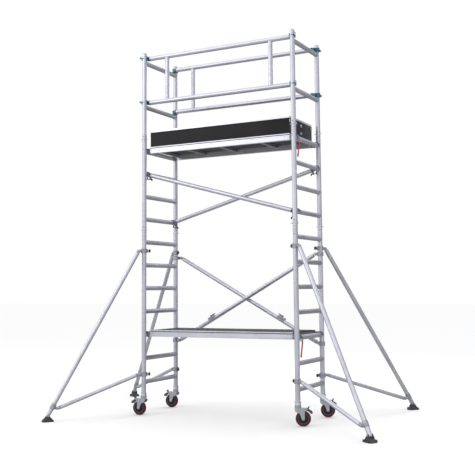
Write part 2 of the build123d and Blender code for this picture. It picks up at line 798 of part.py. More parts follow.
def fork_leg(plane, place):
    """Add one leg of the fork, a plate that carries the axle and the pedal's pin."""
    with BuildSketch(plane.offset(place)) as profile:
        with BuildLine():
            Polyline(
                (-fork_back, fork_top),
                (fork_front, fork_top),
                (fork_front, fork_top - fork_brow),
                (castor_trail + axle_boss, wheel_d / 2),
                (castor_trail - axle_boss, wheel_d / 2),
                (-fork_back, fork_top - fork_brow),
                close=True,
            )
        make_face()
        with Locations((castor_trail, wheel_d / 2)):
            Circle(axle_boss)
            Circle(axle_d / 2 + fit, mode=Mode.SUBTRACT)
        with Locations(pedal_pivot):
            Circle(pin_d / 2 + fit, mode=Mode.SUBTRACT)
    extrude(profile.sketch, amount=fork_sheet)



def castor_fork(corner):
    """The swivelling fork: a top plate with two legs, and the axle bolt."""
    plane = castor_plane(corner)
    x, y = plane.origin.X, plane.origin.Y
    with BuildPart() as fork:
        fork_leg(plane, fork_gap / 2)
        fork_leg(plane, -fork_gap / 2 - fork_sheet)
        top = Plane(origin=(x, y, fork_top - fork_sheet), x_dir=plane.x_dir, z_dir=(0, 0, 1))
        with BuildSketch(top):
            with Locations(((fork_front - fork_back - 26) / 2, 0)):
                Rectangle(fork_front + fork_back - 26, fork_gap + 2 * fork_sheet)
        extrude(amount=fork_sheet)
        with BuildSketch(top):
            Circle(king_pin_d / 2 + fit)
        extrude(amount=fork_sheet, mode=Mode.SUBTRACT)
    with BuildPart() as axle:
        with BuildSketch(plane):
            with Locations((castor_trail, wheel_d / 2)):
                Circle(axle_d / 2)
        extrude(amount=fork_gap / 2 + fork_sheet + 8, both=True)
    return [fork.part, axle.part]


def castor_wheel(corner):
    """The wheel: a moulded tread on a hub with a plain bore."""
    plane = castor_plane(corner)
    with BuildPart() as tyre:
        with BuildSketch(plane):
            with Locations((castor_trail, wheel_d / 2)):
                Circle(wheel_d / 2)
                Circle(wheel_d / 2 - tread, mode=Mode.SUBTRACT)
        extrude(amount=tread_width / 2, both=True)
        rims = tyre.edges().filter_by(GeomType.CIRCLE).sort_by(SortBy.RADIUS)[-2:]
        fillet(rims, tread / 2)
    with BuildPart() as hub:
        with BuildSketch(plane):
            with Locations((castor_trail, wheel_d / 2)):
                Circle(wheel_d / 2 - tread)
                Circle(axle_d / 2 + fit, mode=Mode.SUBTRACT)
        extrude(amount=tread_width / 2 - 2, both=True)
        with BuildSketch(plane):
            with Locations((castor_trail, wheel_d / 2)):
                Circle(2 * axle_d)
                Circle(axle_d / 2 + fit, mode=Mode.SUBTRACT)
        extrude(amount=wheel_hub_width / 2, both=True)
    return [tyre.part, hub.part]


def castor_pedal(corner):
    """The brake pedal: a foot plate and a raised release tab on a pin through the fork."""
    plane = castor_plane(corner)
    pivot_x, pivot_z = pedal_pivot
    with BuildPart() as pedal:
        with BuildSketch(plane):
            with Locations(pedal_pivot):
                Circle(8)
            with Locations(Location((pivot_x + 34, pivot_z - 6), -10)):
                Rectangle(68, 7)
            with Locations(Location((pivot_x + 22, pivot_z + 18), 42)):
                Rectangle(48, 6)
        extrude(amount=fork_gap / 2 - 2, both=True)
        with BuildSketch(plane):
            with Locations(pedal_pivot):
                Circle(pin_d / 2)
        extrude(amount=fork_gap / 2 + fork_sheet + 4, both=True)
    return pedal.part


save("castor_stems", [castor_stem(corner) for corner in corners])
for corner in corners:
    save(f"castor_fork_{corner}", castor_fork(corner))
    save(f"castor_wheel_{corner}", castor_wheel(corner))
    pedal = castor_pedal(corner)
    pedal.label = f"castor_pedal_{corner}"
    export_step(pedal, f"parts/castor_pedal_{corner}.step")


# ---- platforms ----------------------------------------------------------------------
def deck_beam(end, top):
    """A hollow side beam with a groove along its outer face."""
    with BuildPart() as beam:
        with BuildSketch(Plane.YZ.offset(-beam_half)):
            with Locations((end * beam_middle, top - beam_height / 2)):
                Rectangle(beam_width, beam_height)
                inner_width = beam_width - 2 * beam_wall
                Rectangle(inner_width, beam_height - 2 * beam_wall, mode=Mode.SUBTRACT)
            with Locations((end * beam_outer, top - 14)):
                Rectangle(2, 5, mode=Mode.SUBTRACT)
        extrude(amount=2 * beam_half)
    return beam.part


def crossbar(x, top):
    """A bar across the deck, under the boards."""
    with BuildPart() as bar:
        with Locations((x, 0, top - deck_thick - crossbar_height / 2)):
            Box(crossbar_width, 2 * beam_inner, crossbar_height)
    return bar.part


def deck_hook(side, end, rung_z):
    """A cast hook at one end of a beam that sits over the rung."""
    inner_r = rung_r + slip
    outer_r = inner_r + hook_wall
    rung_x = side * half_length
    web = half_length - inner_r / 2 - beam_half
    with BuildPart() as hook:
        with BuildSketch(front_plane(end * beam_middle)):
            with Locations((rung_x, rung_z)):
                Circle(outer_r)
            with Locations((side * (beam_half + web / 2), rung_z + 8)):
                Rectangle(web, 2 * outer_r - 20)
            with Locations((rung_x, rung_z)):
                Circle(inner_r, mode=Mode.SUBTRACT)
            with Locations((rung_x + side * outer_r / 2, rung_z - outer_r)):
                Rectangle(outer_r + 2 * inner_r, 2 * outer_r - 8, mode=Mode.SUBTRACT)
        extrude(amount=beam_width / 2, both=True)
    return hook.part


def deck_frame(label, rung_z, crossbars):
    """The platform's frame: two beams, crossbars and four hooks."""
    top = rung_z + deck_rise
    pieces = [deck_beam(end, top) for end in (-1, 1)]
    end_bar = beam_half - crossbar_width / 2
    pieces += [crossbar(x, top) for x in (-end_bar, *crossbars, end_bar)]
    pieces += [deck_hook(side, end, rung_z) for side, end in corners.values()]
    save(label, pieces)


def board(x_low, x_high, y_low, y_high, top):
    """A flat piece of the deck's plywood."""
    with BuildPart() as plank:
        with Locations(((x_low + x_high) / 2, (y_low + y_high) / 2, top - deck_thick / 2)):
            Box(x_high - x_low, y_high - y_low, deck_thick)
    return plank.part


board_edge = beam_inner - 0.5
board_end = beam_half - 0.5
hatch_low_x = crossbar_places[1]
hatch_high_x = crossbar_places[2]
hatch_low_y = -board_edge
lower_top = lower_deck_z + deck_rise
upper_top = upper_deck_z + deck_rise
hinge_z = upper_top + hinge_barrel_d / 2
hinge_places = (hatch_low_x + hinge_inset, hatch_high_x - hinge_inset)


def hinge_pin(x):
    """A hinge's pin with a knuckle on the fixed board at each end."""
    with BuildPart() as pin:
        half = hinge_barrel / 2 + gap
        rod((x - half, hatch_hinge_y, hinge_z), (x + half, hatch_hinge_y, hinge_z), hinge_pin_d)
        for way in (-1, 1):
            start = (x + way * half, hatch_hinge_y, hinge_z)
            end = (x + way * (half + hinge_knuckle), hatch_hinge_y, hinge_z)
            rod(start, end, hinge_barrel_d)
            with Locations((x + way * (half + hinge_knuckle / 2), hatch_hinge_y + 15, upper_top + 1)):
                Box(hinge_knuckle, 30, 2)
    return pin.part


def hinge_leaf(x):
    """The hatch's side of a hinge: a barrel round the pin and a leaf on the hatch."""
    with BuildPart() as leaf:
        start = (x - hinge_barrel / 2, hatch_hinge_y, hinge_z)
        end = (x + hinge_barrel / 2, hatch_hinge_y, hinge_z)
        rod(start, end, hinge_barrel_d)
        with Locations((x, hatch_hinge_y - 15, upper_top + 1)):
            Box(hinge_barrel, 30, 2)
        rod(start, end, hinge_pin_d + 2 * fit, Mode.SUBTRACT)
    return leaf.part


deck_frame("upper_deck_frame", upper_deck_z, crossbar_places)
deck_frame("lower_deck_frame", lower_deck_z, crossbar_places)
save(
    "upper_deck_boards",
    [
        board(-board_end, hatch_low_x - 1, -board_edge, board_edge, upper_top),
        board(hatch_high_x + 1, board_end, -board_edge, board_edge, upper_top),
        board(hatch_low_x, hatch_high_x, hatch_hinge_y + 1, board_edge, upper_top),
    ],
)
save("hatch_hinges", [hinge_pin(x) for x in hinge_places])
save("lower_deck_board", [board(-board_end, board_end, -board_edge, board_edge, lower_top)])
low_x = hatch_low_x + hatch_play
high_x = hatch_high_x - hatch_play
hatch_panel = board(low_x, high_x, hatch_low_y + 1, hatch_hinge_y - 1, upper_top)
save("hatch", [hatch_panel] + [hinge_leaf(x) for x in hinge_places])


def wind_latch(rung_z):
    """A lever beside the front right hook that swings in under the rung."""
    pivot_x = half_length + rung_r + slip + hook_wall / 2
    pivot_z = rung_z + 6
    y = -beam_inner + gap + latch_plate / 2
    claw_z = rung_z - rung_r - 9
    half = latch_width / 2
    middle = pivot_x + 2
    bend_z = claw_z - 2 * half
    foot_x = middle - latch_lean
    foot_z = pivot_z - latch_drop
    with BuildPart() as lever:
        with BuildSketch(front_plane(y)):
            with Locations((pivot_x, pivot_z)):
                Circle(6)
            with BuildLine():
                Polyline(
                    (middle - half, pivot_z),
                    (middle + half, pivot_z),
                    (middle + half, bend_z),
                    (foot_x + half, foot_z),
                    (foot_x - half, foot_z),
                    (middle - half, bend_z),
                    close=True,
                )
            make_face()
            with Locations((pivot_x - 18, claw_z)):
                Rectangle(38, 9)
        extrude(amount=latch_plate / 2, both=True)
        with BuildSketch(front_plane(y)):
            with Locations((foot_x + 2, foot_z + latch_grip / 2)):
                Rectangle(latch_width, latch_grip)
        extrude(amount=latch_plate, both=True)
    return lever.part


for name, rung_z in {"upper": upper_deck_z, "lower": lower_deck_z}.items():
    latch = wind_latch(rung_z)
    latch.label = f"wind_latch_{name}"
    export_step(latch, f"parts/wind_latch_{name}.step")


# ---- toe boards ---------------------------------------------------------------------
toe_x = beam_half
toe_y = beam_outer - 5.0
toe_z = upper_top + gap
toe_span = toe_y - toe_board_thick - 0.5
toe_middle = 1.0


def toe_piece(x_range, y_range, z_range):
    """A board or cap strip given by its limits."""
    size = [high - low for low, high in (x_range, y_range, z_range)]
    place = [(high + low) / 2 for low, high in (x_range, y_range, z_range)]
    with BuildPart() as piece:
        with Locations(tuple(place)):
            Box(*size)
    return piece.part


def toe_layer(z_low, z_high, outwards):
    """Boards or caps round the deck: two long ones, and two folding ends of two halves each."""
    thick = toe_board_thick
    z_range = (z_low, z_high)
    pieces = []
    for way in (-1, 1):
        long_y = sorted((way * (toe_y + outwards), way * (toe_y - thick - outwards)))
        pieces.append(toe_piece((-toe_x, toe_x), long_y, z_range))
        end_x = sorted((way * (toe_x + outwards), way * (toe_x - thick - outwards)))
        for half in (-1, 1):
            half_y = sorted((half * toe_middle / 2, half * (toe_span - outwards)))
            pieces.append(toe_piece(end_x, half_y, z_range))
    return pieces


def toe_hinges():
    """Plates across the folding middles, and barrels at the corners."""
    plates = []
    for way in (-1, 1):
        for rise in (toe_board_height * 0.25, toe_board_height * 0.75):
            x_range = sorted((way * toe_x, way * (toe_x + 3)))
            z_range = (toe_z + rise - 14, toe_z + rise + 14)
            plates.append(toe_piece(x_range, (-24, 24), z_range))
        for end in (-1, 1):
            x_range = sorted((way * (toe_x), way * (toe_x + 4)))
            y_range = sorted((end * (toe_y - 40), end * toe_y))
            z_range = (toe_z + toe_board_height - 44, toe_z + toe_board_height - 14)
            plates.append(toe_piece(x_range, y_range, z_range))
    return plates


board_top = toe_z + toe_board_height
save("toe_boards", toe_layer(toe_z, board_top, 0))
save("toe_board_caps", toe_layer(board_top, board_top + toe_cap, 1))
save("toe_board_hinges", toe_hinges())
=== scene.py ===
import json
from math import atan2, cos, pi, radians, sin, sqrt

import bmesh
import bpy
from mathutils import Matrix, Vector


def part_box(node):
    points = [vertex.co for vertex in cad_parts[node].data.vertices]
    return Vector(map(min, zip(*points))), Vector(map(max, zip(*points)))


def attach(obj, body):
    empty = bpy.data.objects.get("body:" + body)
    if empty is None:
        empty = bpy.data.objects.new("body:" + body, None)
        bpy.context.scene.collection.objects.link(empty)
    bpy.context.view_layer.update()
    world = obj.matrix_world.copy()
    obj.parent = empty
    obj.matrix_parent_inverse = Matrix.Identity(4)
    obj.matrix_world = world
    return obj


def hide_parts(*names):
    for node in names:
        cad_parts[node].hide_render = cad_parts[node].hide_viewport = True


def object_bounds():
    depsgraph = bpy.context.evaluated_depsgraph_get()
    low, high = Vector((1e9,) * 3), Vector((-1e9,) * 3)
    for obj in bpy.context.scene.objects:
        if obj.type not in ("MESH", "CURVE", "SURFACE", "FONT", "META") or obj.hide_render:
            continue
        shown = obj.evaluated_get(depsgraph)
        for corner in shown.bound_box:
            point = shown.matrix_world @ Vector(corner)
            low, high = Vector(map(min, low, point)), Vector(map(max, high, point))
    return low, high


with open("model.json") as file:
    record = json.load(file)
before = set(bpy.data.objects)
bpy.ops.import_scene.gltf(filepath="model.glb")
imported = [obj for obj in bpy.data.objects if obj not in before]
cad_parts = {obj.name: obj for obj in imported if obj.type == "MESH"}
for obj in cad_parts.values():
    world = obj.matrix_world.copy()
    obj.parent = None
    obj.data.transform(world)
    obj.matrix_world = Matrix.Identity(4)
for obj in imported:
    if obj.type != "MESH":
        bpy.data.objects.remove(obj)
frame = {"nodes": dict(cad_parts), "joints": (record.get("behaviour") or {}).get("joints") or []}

bl_info = {
    "name": "Access Tower",
    "version": (1, 0, 0),
    "blender": (4, 5, 0),
    "location": "3D View > Sidebar > Tower",
    "description": "Builds the finished look of a mobile access tower on its CAD frame",
    "category": "Object",
}

CAD_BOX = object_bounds()
CORNERS = {"fl": (-1, -1), "fr": (1, -1), "bl": (-1, 1), "br": (1, 1)}
FRAMES = [f"{level}_frame_{side}" for level in ("base", "upper", "guard") for side in ("left", "right")]
JOINTS = {joint["name"]: joint for joint in frame["joints"]}
UP = Vector((0, 0, 1))


def solids(node):
    """Lowest and highest corner of each separate solid of a CAD node."""
    mesh = bmesh.new()
    mesh.from_mesh(frame["nodes"][node].data)
    bmesh.ops.remove_doubles(mesh, verts=mesh.verts, dist=1e-6)
    seen, found = set(), []
    for start in mesh.verts:
        if start in seen:
            continue
        seen.add(start)
        group, queue = [], [start]
        while queue:
            vert = queue.pop()
            group.append(vert.co.copy())
            for edge in vert.link_edges:
                other = edge.other_vert(vert)
                if other not in seen:
                    seen.add(other)
                    queue.append(other)
        low = Vector(min(co[k] for co in group) for k in range(3))
        high = Vector(max(co[k] for co in group) for k in range(3))
        found.append((low, high))
    mesh.free()
    return found


def middle(box):
    return (box[0] + box[1]) / 2


def size(box):
    return box[1] - box[0]


POSTS = {node: [box for box in solids(node) if size(box).z > size(box).y] for node in FRAMES}
RUNGS = {node: [box for box in solids(node) if size(box).z < size(box).y] for node in FRAMES}
TUBE_R = size(POSTS["base_frame_left"][0]).x / 2
RUNG_R = size(RUNGS["base_frame_left"][0]).x / 2
HALF_X = abs(middle(POSTS["base_frame_left"][0]).x)
HALF_Y = abs(middle(POSTS["base_frame_left"][0]).y)
SEAMS = (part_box("base_frame_left")[1].z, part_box("upper_frame_left")[1].z)


def joint_place(name):
    return Vector(JOINTS[name]["pos_m"])


# ---- sizes and colours ----------------------------------------------------------------
def length(name, description, default):
    return bpy.props.FloatProperty(
        name=name, description=description, default=default, unit="LENGTH", min=0.0
    )


def colour(name, description, default):
    return bpy.props.FloatVectorProperty(
        name=name, description=description, default=default, size=3, subtype="COLOR", min=0, max=1
    )


class TowerSizes(bpy.types.PropertyGroup):
    flutes: bpy.props.IntProperty(name="Flutes", description="Flutes round a rung", default=20, min=3)
    flute_depth: length("Flute depth", "Depth of a rung's flutes", 0.0011)
    weld: length("Weld bead", "Radius of a weld bead", 0.0028)
    rivet: length("Rivet", "Diameter of a rivet's head", 0.010)
    screw: length("Screw", "Diameter of a deck screw's head", 0.011)
    nut: length("Nut", "Width of a nut across its corners", 0.020)
    clip_wire: length("Clip wire", "Diameter of a locking clip's wire", 0.007)
    tube_edge: length("Tube edge", "Chamfer on the ends of the uprights", 0.0015)
    knob: length("Star knob", "Radius of a stabiliser's star knob", 0.020)
    trim: length("Beam lip", "How far a platform beam's lips stand out", 0.0022)


class TowerColours(bpy.types.PropertyGroup):
    tube: colour("Tube", "Drawn aluminium tube", (0.62, 0.62, 0.68))
    rung: colour("Rung", "Fluted rung", (0.48, 0.48, 0.53))
    beam: colour("Platform beam", "Bright extruded beam", (0.66, 0.66, 0.71))
    # Much darker than the beam's aluminium: painted shade on the crossbars under the platforms.
    bar: colour("Crossbar", "Aluminium under the platforms", (0.30, 0.30, 0.33))
    cast: colour("Casting", "Rough cast fitting", (0.20, 0.20, 0.22))
    zinc: colour("Zinc", "Zinc plated steel", (0.47, 0.51, 0.54))
    claw: colour("Claw", "Guardrail claw", (0.012, 0.105, 0.150))
    black: colour("Black plastic", "Moulded black plastic", (0.018, 0.018, 0.021))
    red: colour("Red lever", "Wind latch", (0.42, 0.035, 0.025))
    cap: colour("Cap", "Upright's cap", (0.62, 0.62, 0.68))
    tread: colour("Tread", "Wheel's tread", (0.072, 0.003, 0.013))
    rubber: colour("Rubber", "Stabiliser's foot", (0.050, 0.050, 0.054))
    board: colour("Board", "Platform board's film", (0.034, 0.034, 0.038))
    toe: colour("Toe board", "Toe board's film", (0.010, 0.009, 0.010))
    floor: colour("Floor", "Plain floor", (0.975, 0.975, 0.98))


# ---- node trees -----------------------------------------------------------------------
class Wire:
    """An output socket; sums, products and the like add Math nodes."""

    def __init__(self, graph, socket):
        self.graph = graph
        self.socket = socket

    def maths(self, operation, *values):
        return self.graph.add("ShaderNodeMath", dict(enumerate(values)), operation=operation)

    def __add__(self, other):
        return self.maths("ADD", self, other)

    __radd__ = __add__

    def __sub__(self, other):
        return self.maths("SUBTRACT", self, other)

    def __rsub__(self, other):
        return self.maths("SUBTRACT", other, self)

    def __mul__(self, other):
        return self.maths("MULTIPLY", self, other)

    __rmul__ = __mul__

    def __truediv__(self, other):
        return self.maths("DIVIDE", self, other)

    def __rtruediv__(self, other):
        return self.maths("DIVIDE", other, self)

    def wave(self):
        return self.maths("SINE", self)

    def spread(self, low, high, new_low=0.0, new_high=1.0):
        """Stretch the span from low to high onto another span, and cut off what is outside."""
        values = {"Value": self, 1: low, 2: high, 3: new_low, 4: new_high}
        return self.graph.add("ShaderNodeMapRange", values, clamp=True)


class Graph:
    """A node tree that is put together by calls."""

    def __init__(self, tree):
        self.tree = tree

    def add(self, kind, inputs=None, output=0, stops=None, **settings):
        """Add a node: its settings first, then its sockets' values and links."""
        node = self.tree.nodes.new(kind)
        for name, value in settings.items():
            setattr(node, name, value)
        for place, value in (stops or {}).items():
            self.stop(node.color_ramp, place, value)
        if stops:
            for element in list(node.color_ramp.elements)[:2]:
                node.color_ramp.elements.remove(element)
        for name, value in (inputs or {}).items():
            if isinstance(value, Wire):
                self.tree.links.new(value.socket, node.inputs[name])
            else:
                node.inputs[name].default_value = value
        return Wire(self, node.outputs[output]) if len(node.outputs) else node

    def stop(self, ramp, place, value):
        element = ramp.elements.new(place)
        element.color = (value, value, value, 1)

    def blend(self, share, first, second):
        """Mix two colours."""
        values = {0: share, 6: rgba(first), 7: rgba(second)}
        return self.add("ShaderNodeMix", values, output=2, data_type="RGBA", clamp_factor=True)


def rgba(value):
    return value if isinstance(value, Wire) else (*value, 1)


def shade(value, factor):
    return tuple(min(1.0, channel * factor) for channel in value)


class Finish(Graph):
    """A material with a Principled shader and patterns on Object coordinates."""

    def __init__(self, name, turn=(0, 0, 0), **constants):
        self.material = bpy.data.materials.new(name)
        self.material.use_nodes = True
        super().__init__(self.material.node_tree)
        self.shader = self.tree.nodes["Principled BSDF"]
        for socket, value in constants.items():
            label = socket.replace("_", " ").title().replace("Ior", "IOR")
            self.shader.inputs[label].default_value = value
        place = self.add("ShaderNodeTexCoord", output=3)
        self.place = self.add("ShaderNodeMapping", {"Vector": place, "Rotation": turn})

    def noise(self, scale, detail=3.0, stretch=(1, 1, 1), roughness=0.5):
        where = self.add("ShaderNodeMapping", {"Vector": self.place, "Scale": stretch})
        values = {"Vector": where, "Scale": scale, "Detail": detail, "Roughness": roughness}
        return self.add("ShaderNodeTexNoise", values)

    def cells(self, scale, feature="F1"):
        values = {"Vector": self.place, "Scale": scale}
        return self.add("ShaderNodeTexVoronoi", values, feature=feature)

    def height(self):
        return self.add("ShaderNodeSeparateXYZ", {0: self.place}, output=2)

    def finish(self, base, roughness, bump=None, strength=0.2, distance=0.0005):
        """Link the shader's colour, roughness and relief."""
        self.tree.links.new(base.socket, self.shader.inputs["Base Color"])
        self.tree.links.new(roughness.socket, self.shader.inputs["Roughness"])
        if bump is not None:
            values = {"Height": bump, "Strength": strength, "Distance": distance}
            relief = self.add("ShaderNodeBump", values)
            self.tree.links.new(relief.socket, self.shader.inputs["Normal"])
        return self.material


def drawn(name, tone, turn=(0, 0, 0), rough=0.36, contrast=1.0):
    """Drawn or extruded aluminium: die lines along the local Z, dull patches and scuffs."""
    metal = Finish(name, turn, metallic=0.9)
    lines = metal.noise(60, 4, (1, 1, 0.012), 0.65)
    fine = metal.noise(420, 2, (1, 1, 0.02))
    patches = metal.noise(3.5, 4)
    scuffs = metal.noise(26, 6, (1, 1, 0.35), 0.7).spread(0.60, 0.72)
    specks = metal.noise(160, 3).spread(0.68, 0.78)
    tint = (lines * 0.6 + patches * 0.4).spread(0.35, 0.65)
    base = metal.blend(tint, shade(tone, 1 - 0.22 * contrast), shade(tone, 1 + 0.10 * contrast))
    base = metal.blend(scuffs * 0.35, base, shade(tone, 0.62))
    base = metal.blend(specks * 0.5, base, shade(tone, 0.40))
    roughness = rough + 0.16 * patches + 0.10 * lines + 0.12 * scuffs
    return metal.finish(base, roughness, lines * 0.7 + fine * 0.3, 0.16, 0.0004)


def cast(name, tone, rough=0.55):
    """Sand cast aluminium: pitted, darker in its hollows, rubbed where it is handled."""
    metal = Finish(name, metallic=0.75)
    grain = metal.noise(230, 5, roughness=0.7)
    pits = metal.cells(330)
    wear = metal.noise(28, 4, roughness=0.6).spread(0.50, 0.66)
    base = metal.blend(grain.spread(0.35, 0.65), shade(tone, 0.72), shade(tone, 1.25))
    base = metal.blend(wear * 0.45, base, shade(tone, 1.9))
    roughness = rough + 0.2 * grain - 0.14 * wear
    return metal.finish(base, roughness, grain * 0.7 + pits * 0.3, 0.5, 0.0008)


def plated(name, tone, rough=0.30):
    """Zinc plate: faint spangle, a yellow cast in places, dull handling marks."""
    metal = Finish(name, metallic=0.95)
    spangle = metal.cells(75)
    cloud = metal.noise(14, 4)
    dull = metal.noise(45, 5, roughness=0.7).spread(0.55, 0.70)
    base = metal.blend(spangle.spread(0.1, 0.7), shade(tone, 0.86), shade(tone, 1.10))
    yellow = (tone[0] * 1.02, tone[1] * 0.97, tone[2] * 0.88)
    base = metal.blend(cloud.spread(0.52, 0.70) * 0.6, base, yellow)
    base = metal.blend(dull * 0.4, base, shade(tone, 0.6))
    roughness = rough + 0.18 * cloud + 0.2 * dull
    return metal.finish(base, roughness, spangle * 0.4 + cloud * 0.6, 0.12, 0.0004)


def moulded(name, tone, rough=0.42, dust=0.25):
    """Moulded plastic: fine spark grain, paler scuffs and a little dust."""
    skin = Finish(name, coat_weight=0.04)
    grain = skin.noise(900, 2)
    scuffs = skin.noise(55, 6, (1, 1, 0.4), 0.7).spread(0.60, 0.72)
    haze = skin.noise(9, 4).spread(0.45, 0.72)
    pale = tuple(channel * 0.75 + 0.16 for channel in tone)
    base = skin.blend(grain.spread(0.3, 0.7), shade(tone, 0.85), shade(tone, 1.15))
    base = skin.blend(scuffs * 0.3, base, pale)
    base = skin.blend(haze * dust * 0.5, base, pale)
    roughness = rough + 0.14 * haze + 0.16 * scuffs
    return skin.finish(base, roughness, grain, 0.22, 0.0003)


def rubbery(name, tone, rough=0.62):
    """Rubber or polyurethane: matt, dusty low down, small nicks."""
    skin = Finish(name, specular_ior_level=0.3)
    grain = skin.noise(500, 4, roughness=0.6)
    marks = skin.noise(36, 6, roughness=0.75).spread(0.55, 0.72)
    dirt = skin.height().spread(0.0, 0.05, 0.55, 0.10)
    dust = (0.22, 0.20, 0.18)
    base = skin.blend(grain.spread(0.3, 0.7), shade(tone, 0.8), shade(tone, 1.2))
    base = skin.blend(marks * 0.35, base, shade(tone, 1.9))
    base = skin.blend(marks * dirt, base, dust)
    roughness = rough + 0.2 * marks + 0.08 * grain
    return skin.finish(base, roughness, grain * 0.6 + marks * 0.4, 0.35, 0.0006)


def filmed(name, tone, pitch, rough=0.48):
    """Film faced birch board: pressed anti-slip mesh, tread wear and dust."""
    skin = Finish(name, specular_ior_level=0.12)
    split = skin.add("ShaderNodeSeparateXYZ", {0: skin.place})
    along = split
    across = Wire(skin, split.socket.node.outputs[1])
    mesh = (along * (2 * pi / pitch)).wave() * (across * (2 * pi / pitch)).wave()
    mesh = mesh.spread(-0.4, 0.4)
    wear = skin.noise(7, 6, (0.6, 1, 1), 0.65).spread(0.46, 0.70)
    scratches = skin.noise(60, 4, (0.15, 1, 1), 0.7).spread(0.62, 0.74)
    dust = skin.noise(2.6, 5).spread(0.42, 0.68)
    base = skin.blend(mesh, shade(tone, 0.72), shade(tone, 1.2))
    base = skin.blend(wear * 0.4, base, shade(tone, 2.1))
    base = skin.blend(scratches * 0.35, base, shade(tone, 3.0))
    base = skin.blend(dust * 0.05, base, (0.20, 0.19, 0.18))
    roughness = rough + 0.2 * wear + 0.12 * dust - 0.10 * mesh
    return skin.finish(base, roughness, mesh, 0.45, 0.0005)


def make_finishes(colours):
    """Every material of the tower, by name."""
    level, lengthways = (pi / 2, 0, 0), (0, pi / 2, 0)
    slant = atan2(SEAMS[1] - SEAMS[0] - TUBE_R * 20, 2 * HALF_X)
    # The lengthways tubes take the tube colour 5% lighter.
    tube_lightened = shade(colours.tube, 1.05)
    return {
        "tube_up": drawn("tube_aluminium_upright", colours.tube),
        "tube_x": drawn("tube_aluminium_lengthways", tube_lightened, lengthways),
        "tube_down": drawn("tube_aluminium_falling", colours.tube, (0, pi / 2 + slant, 0)),
        "tube_rise": drawn("tube_aluminium_rising", colours.tube, (0, pi / 2 - slant, 0)),
        "rung": drawn("rung_aluminium", colours.rung, level, 0.42, 1.3),
        "weld": plated("weld_metal", shade(colours.tube, 0.85), 0.38),
        "beam": drawn("deck_aluminium", colours.beam, lengthways, 0.30, 0.8),
        # The crossbars' darker aluminium is painted shade under the platforms.
        "bar": drawn("crossbar_aluminium", colours.bar, level, 0.45),
        "cast": cast("cast_alloy", colours.cast),
        "pale_cast": cast("cast_alloy_pale", shade(colours.cast, 1.8), 0.5),
        "zinc": plated("zinc_steel", colours.zinc),
        "clip": plated("clip_steel", shade(colours.zinc, 1.3), 0.22),
        "claw": moulded("claw_plastic", colours.claw, 0.36),
        "black": moulded("black_plastic", colours.black),
        "red": moulded("red_plastic", colours.red, 0.34, 0.2),
        "cap": moulded("cap_plastic", colours.cap, 0.36, 0.1),
        "hub": moulded("hub_plastic", shade(colours.black, 0.35), 0.50, 0.04),
        "ring": moulded("hub_ring_plastic", shade(colours.black, 4.5), 0.45, 0.1),
        "pedal": moulded("pedal_plastic", shade(colours.black, 2.6), 0.45),
        "tread": rubbery("wheel_tread", colours.tread, 0.46),
        "rubber": rubbery("foot_rubber", colours.rubber),
        "board": filmed("deck_ply", colours.board, 0.006),
        "toe": filmed("toe_ply", colours.toe, 0.004, 0.38),
    }


FINISHES = {}


# ---- shapes ---------------------------------------------------------------------------
def basis(origin, axis, start=None):
    """A frame whose Z runs along axis and whose X is as near to start as it can be."""
    z = Vector(axis).normalized()
    start = Vector(start) if start is not None else (Vector((1, 0, 0)) if abs(z.x) < 0.9 else UP)
    x = (start - z * start.dot(z)).normalized()
    y = z.cross(x)
    turned = Matrix((x, y, z)).transposed().to_4x4()
    turned.translation = Vector(origin)
    return turned


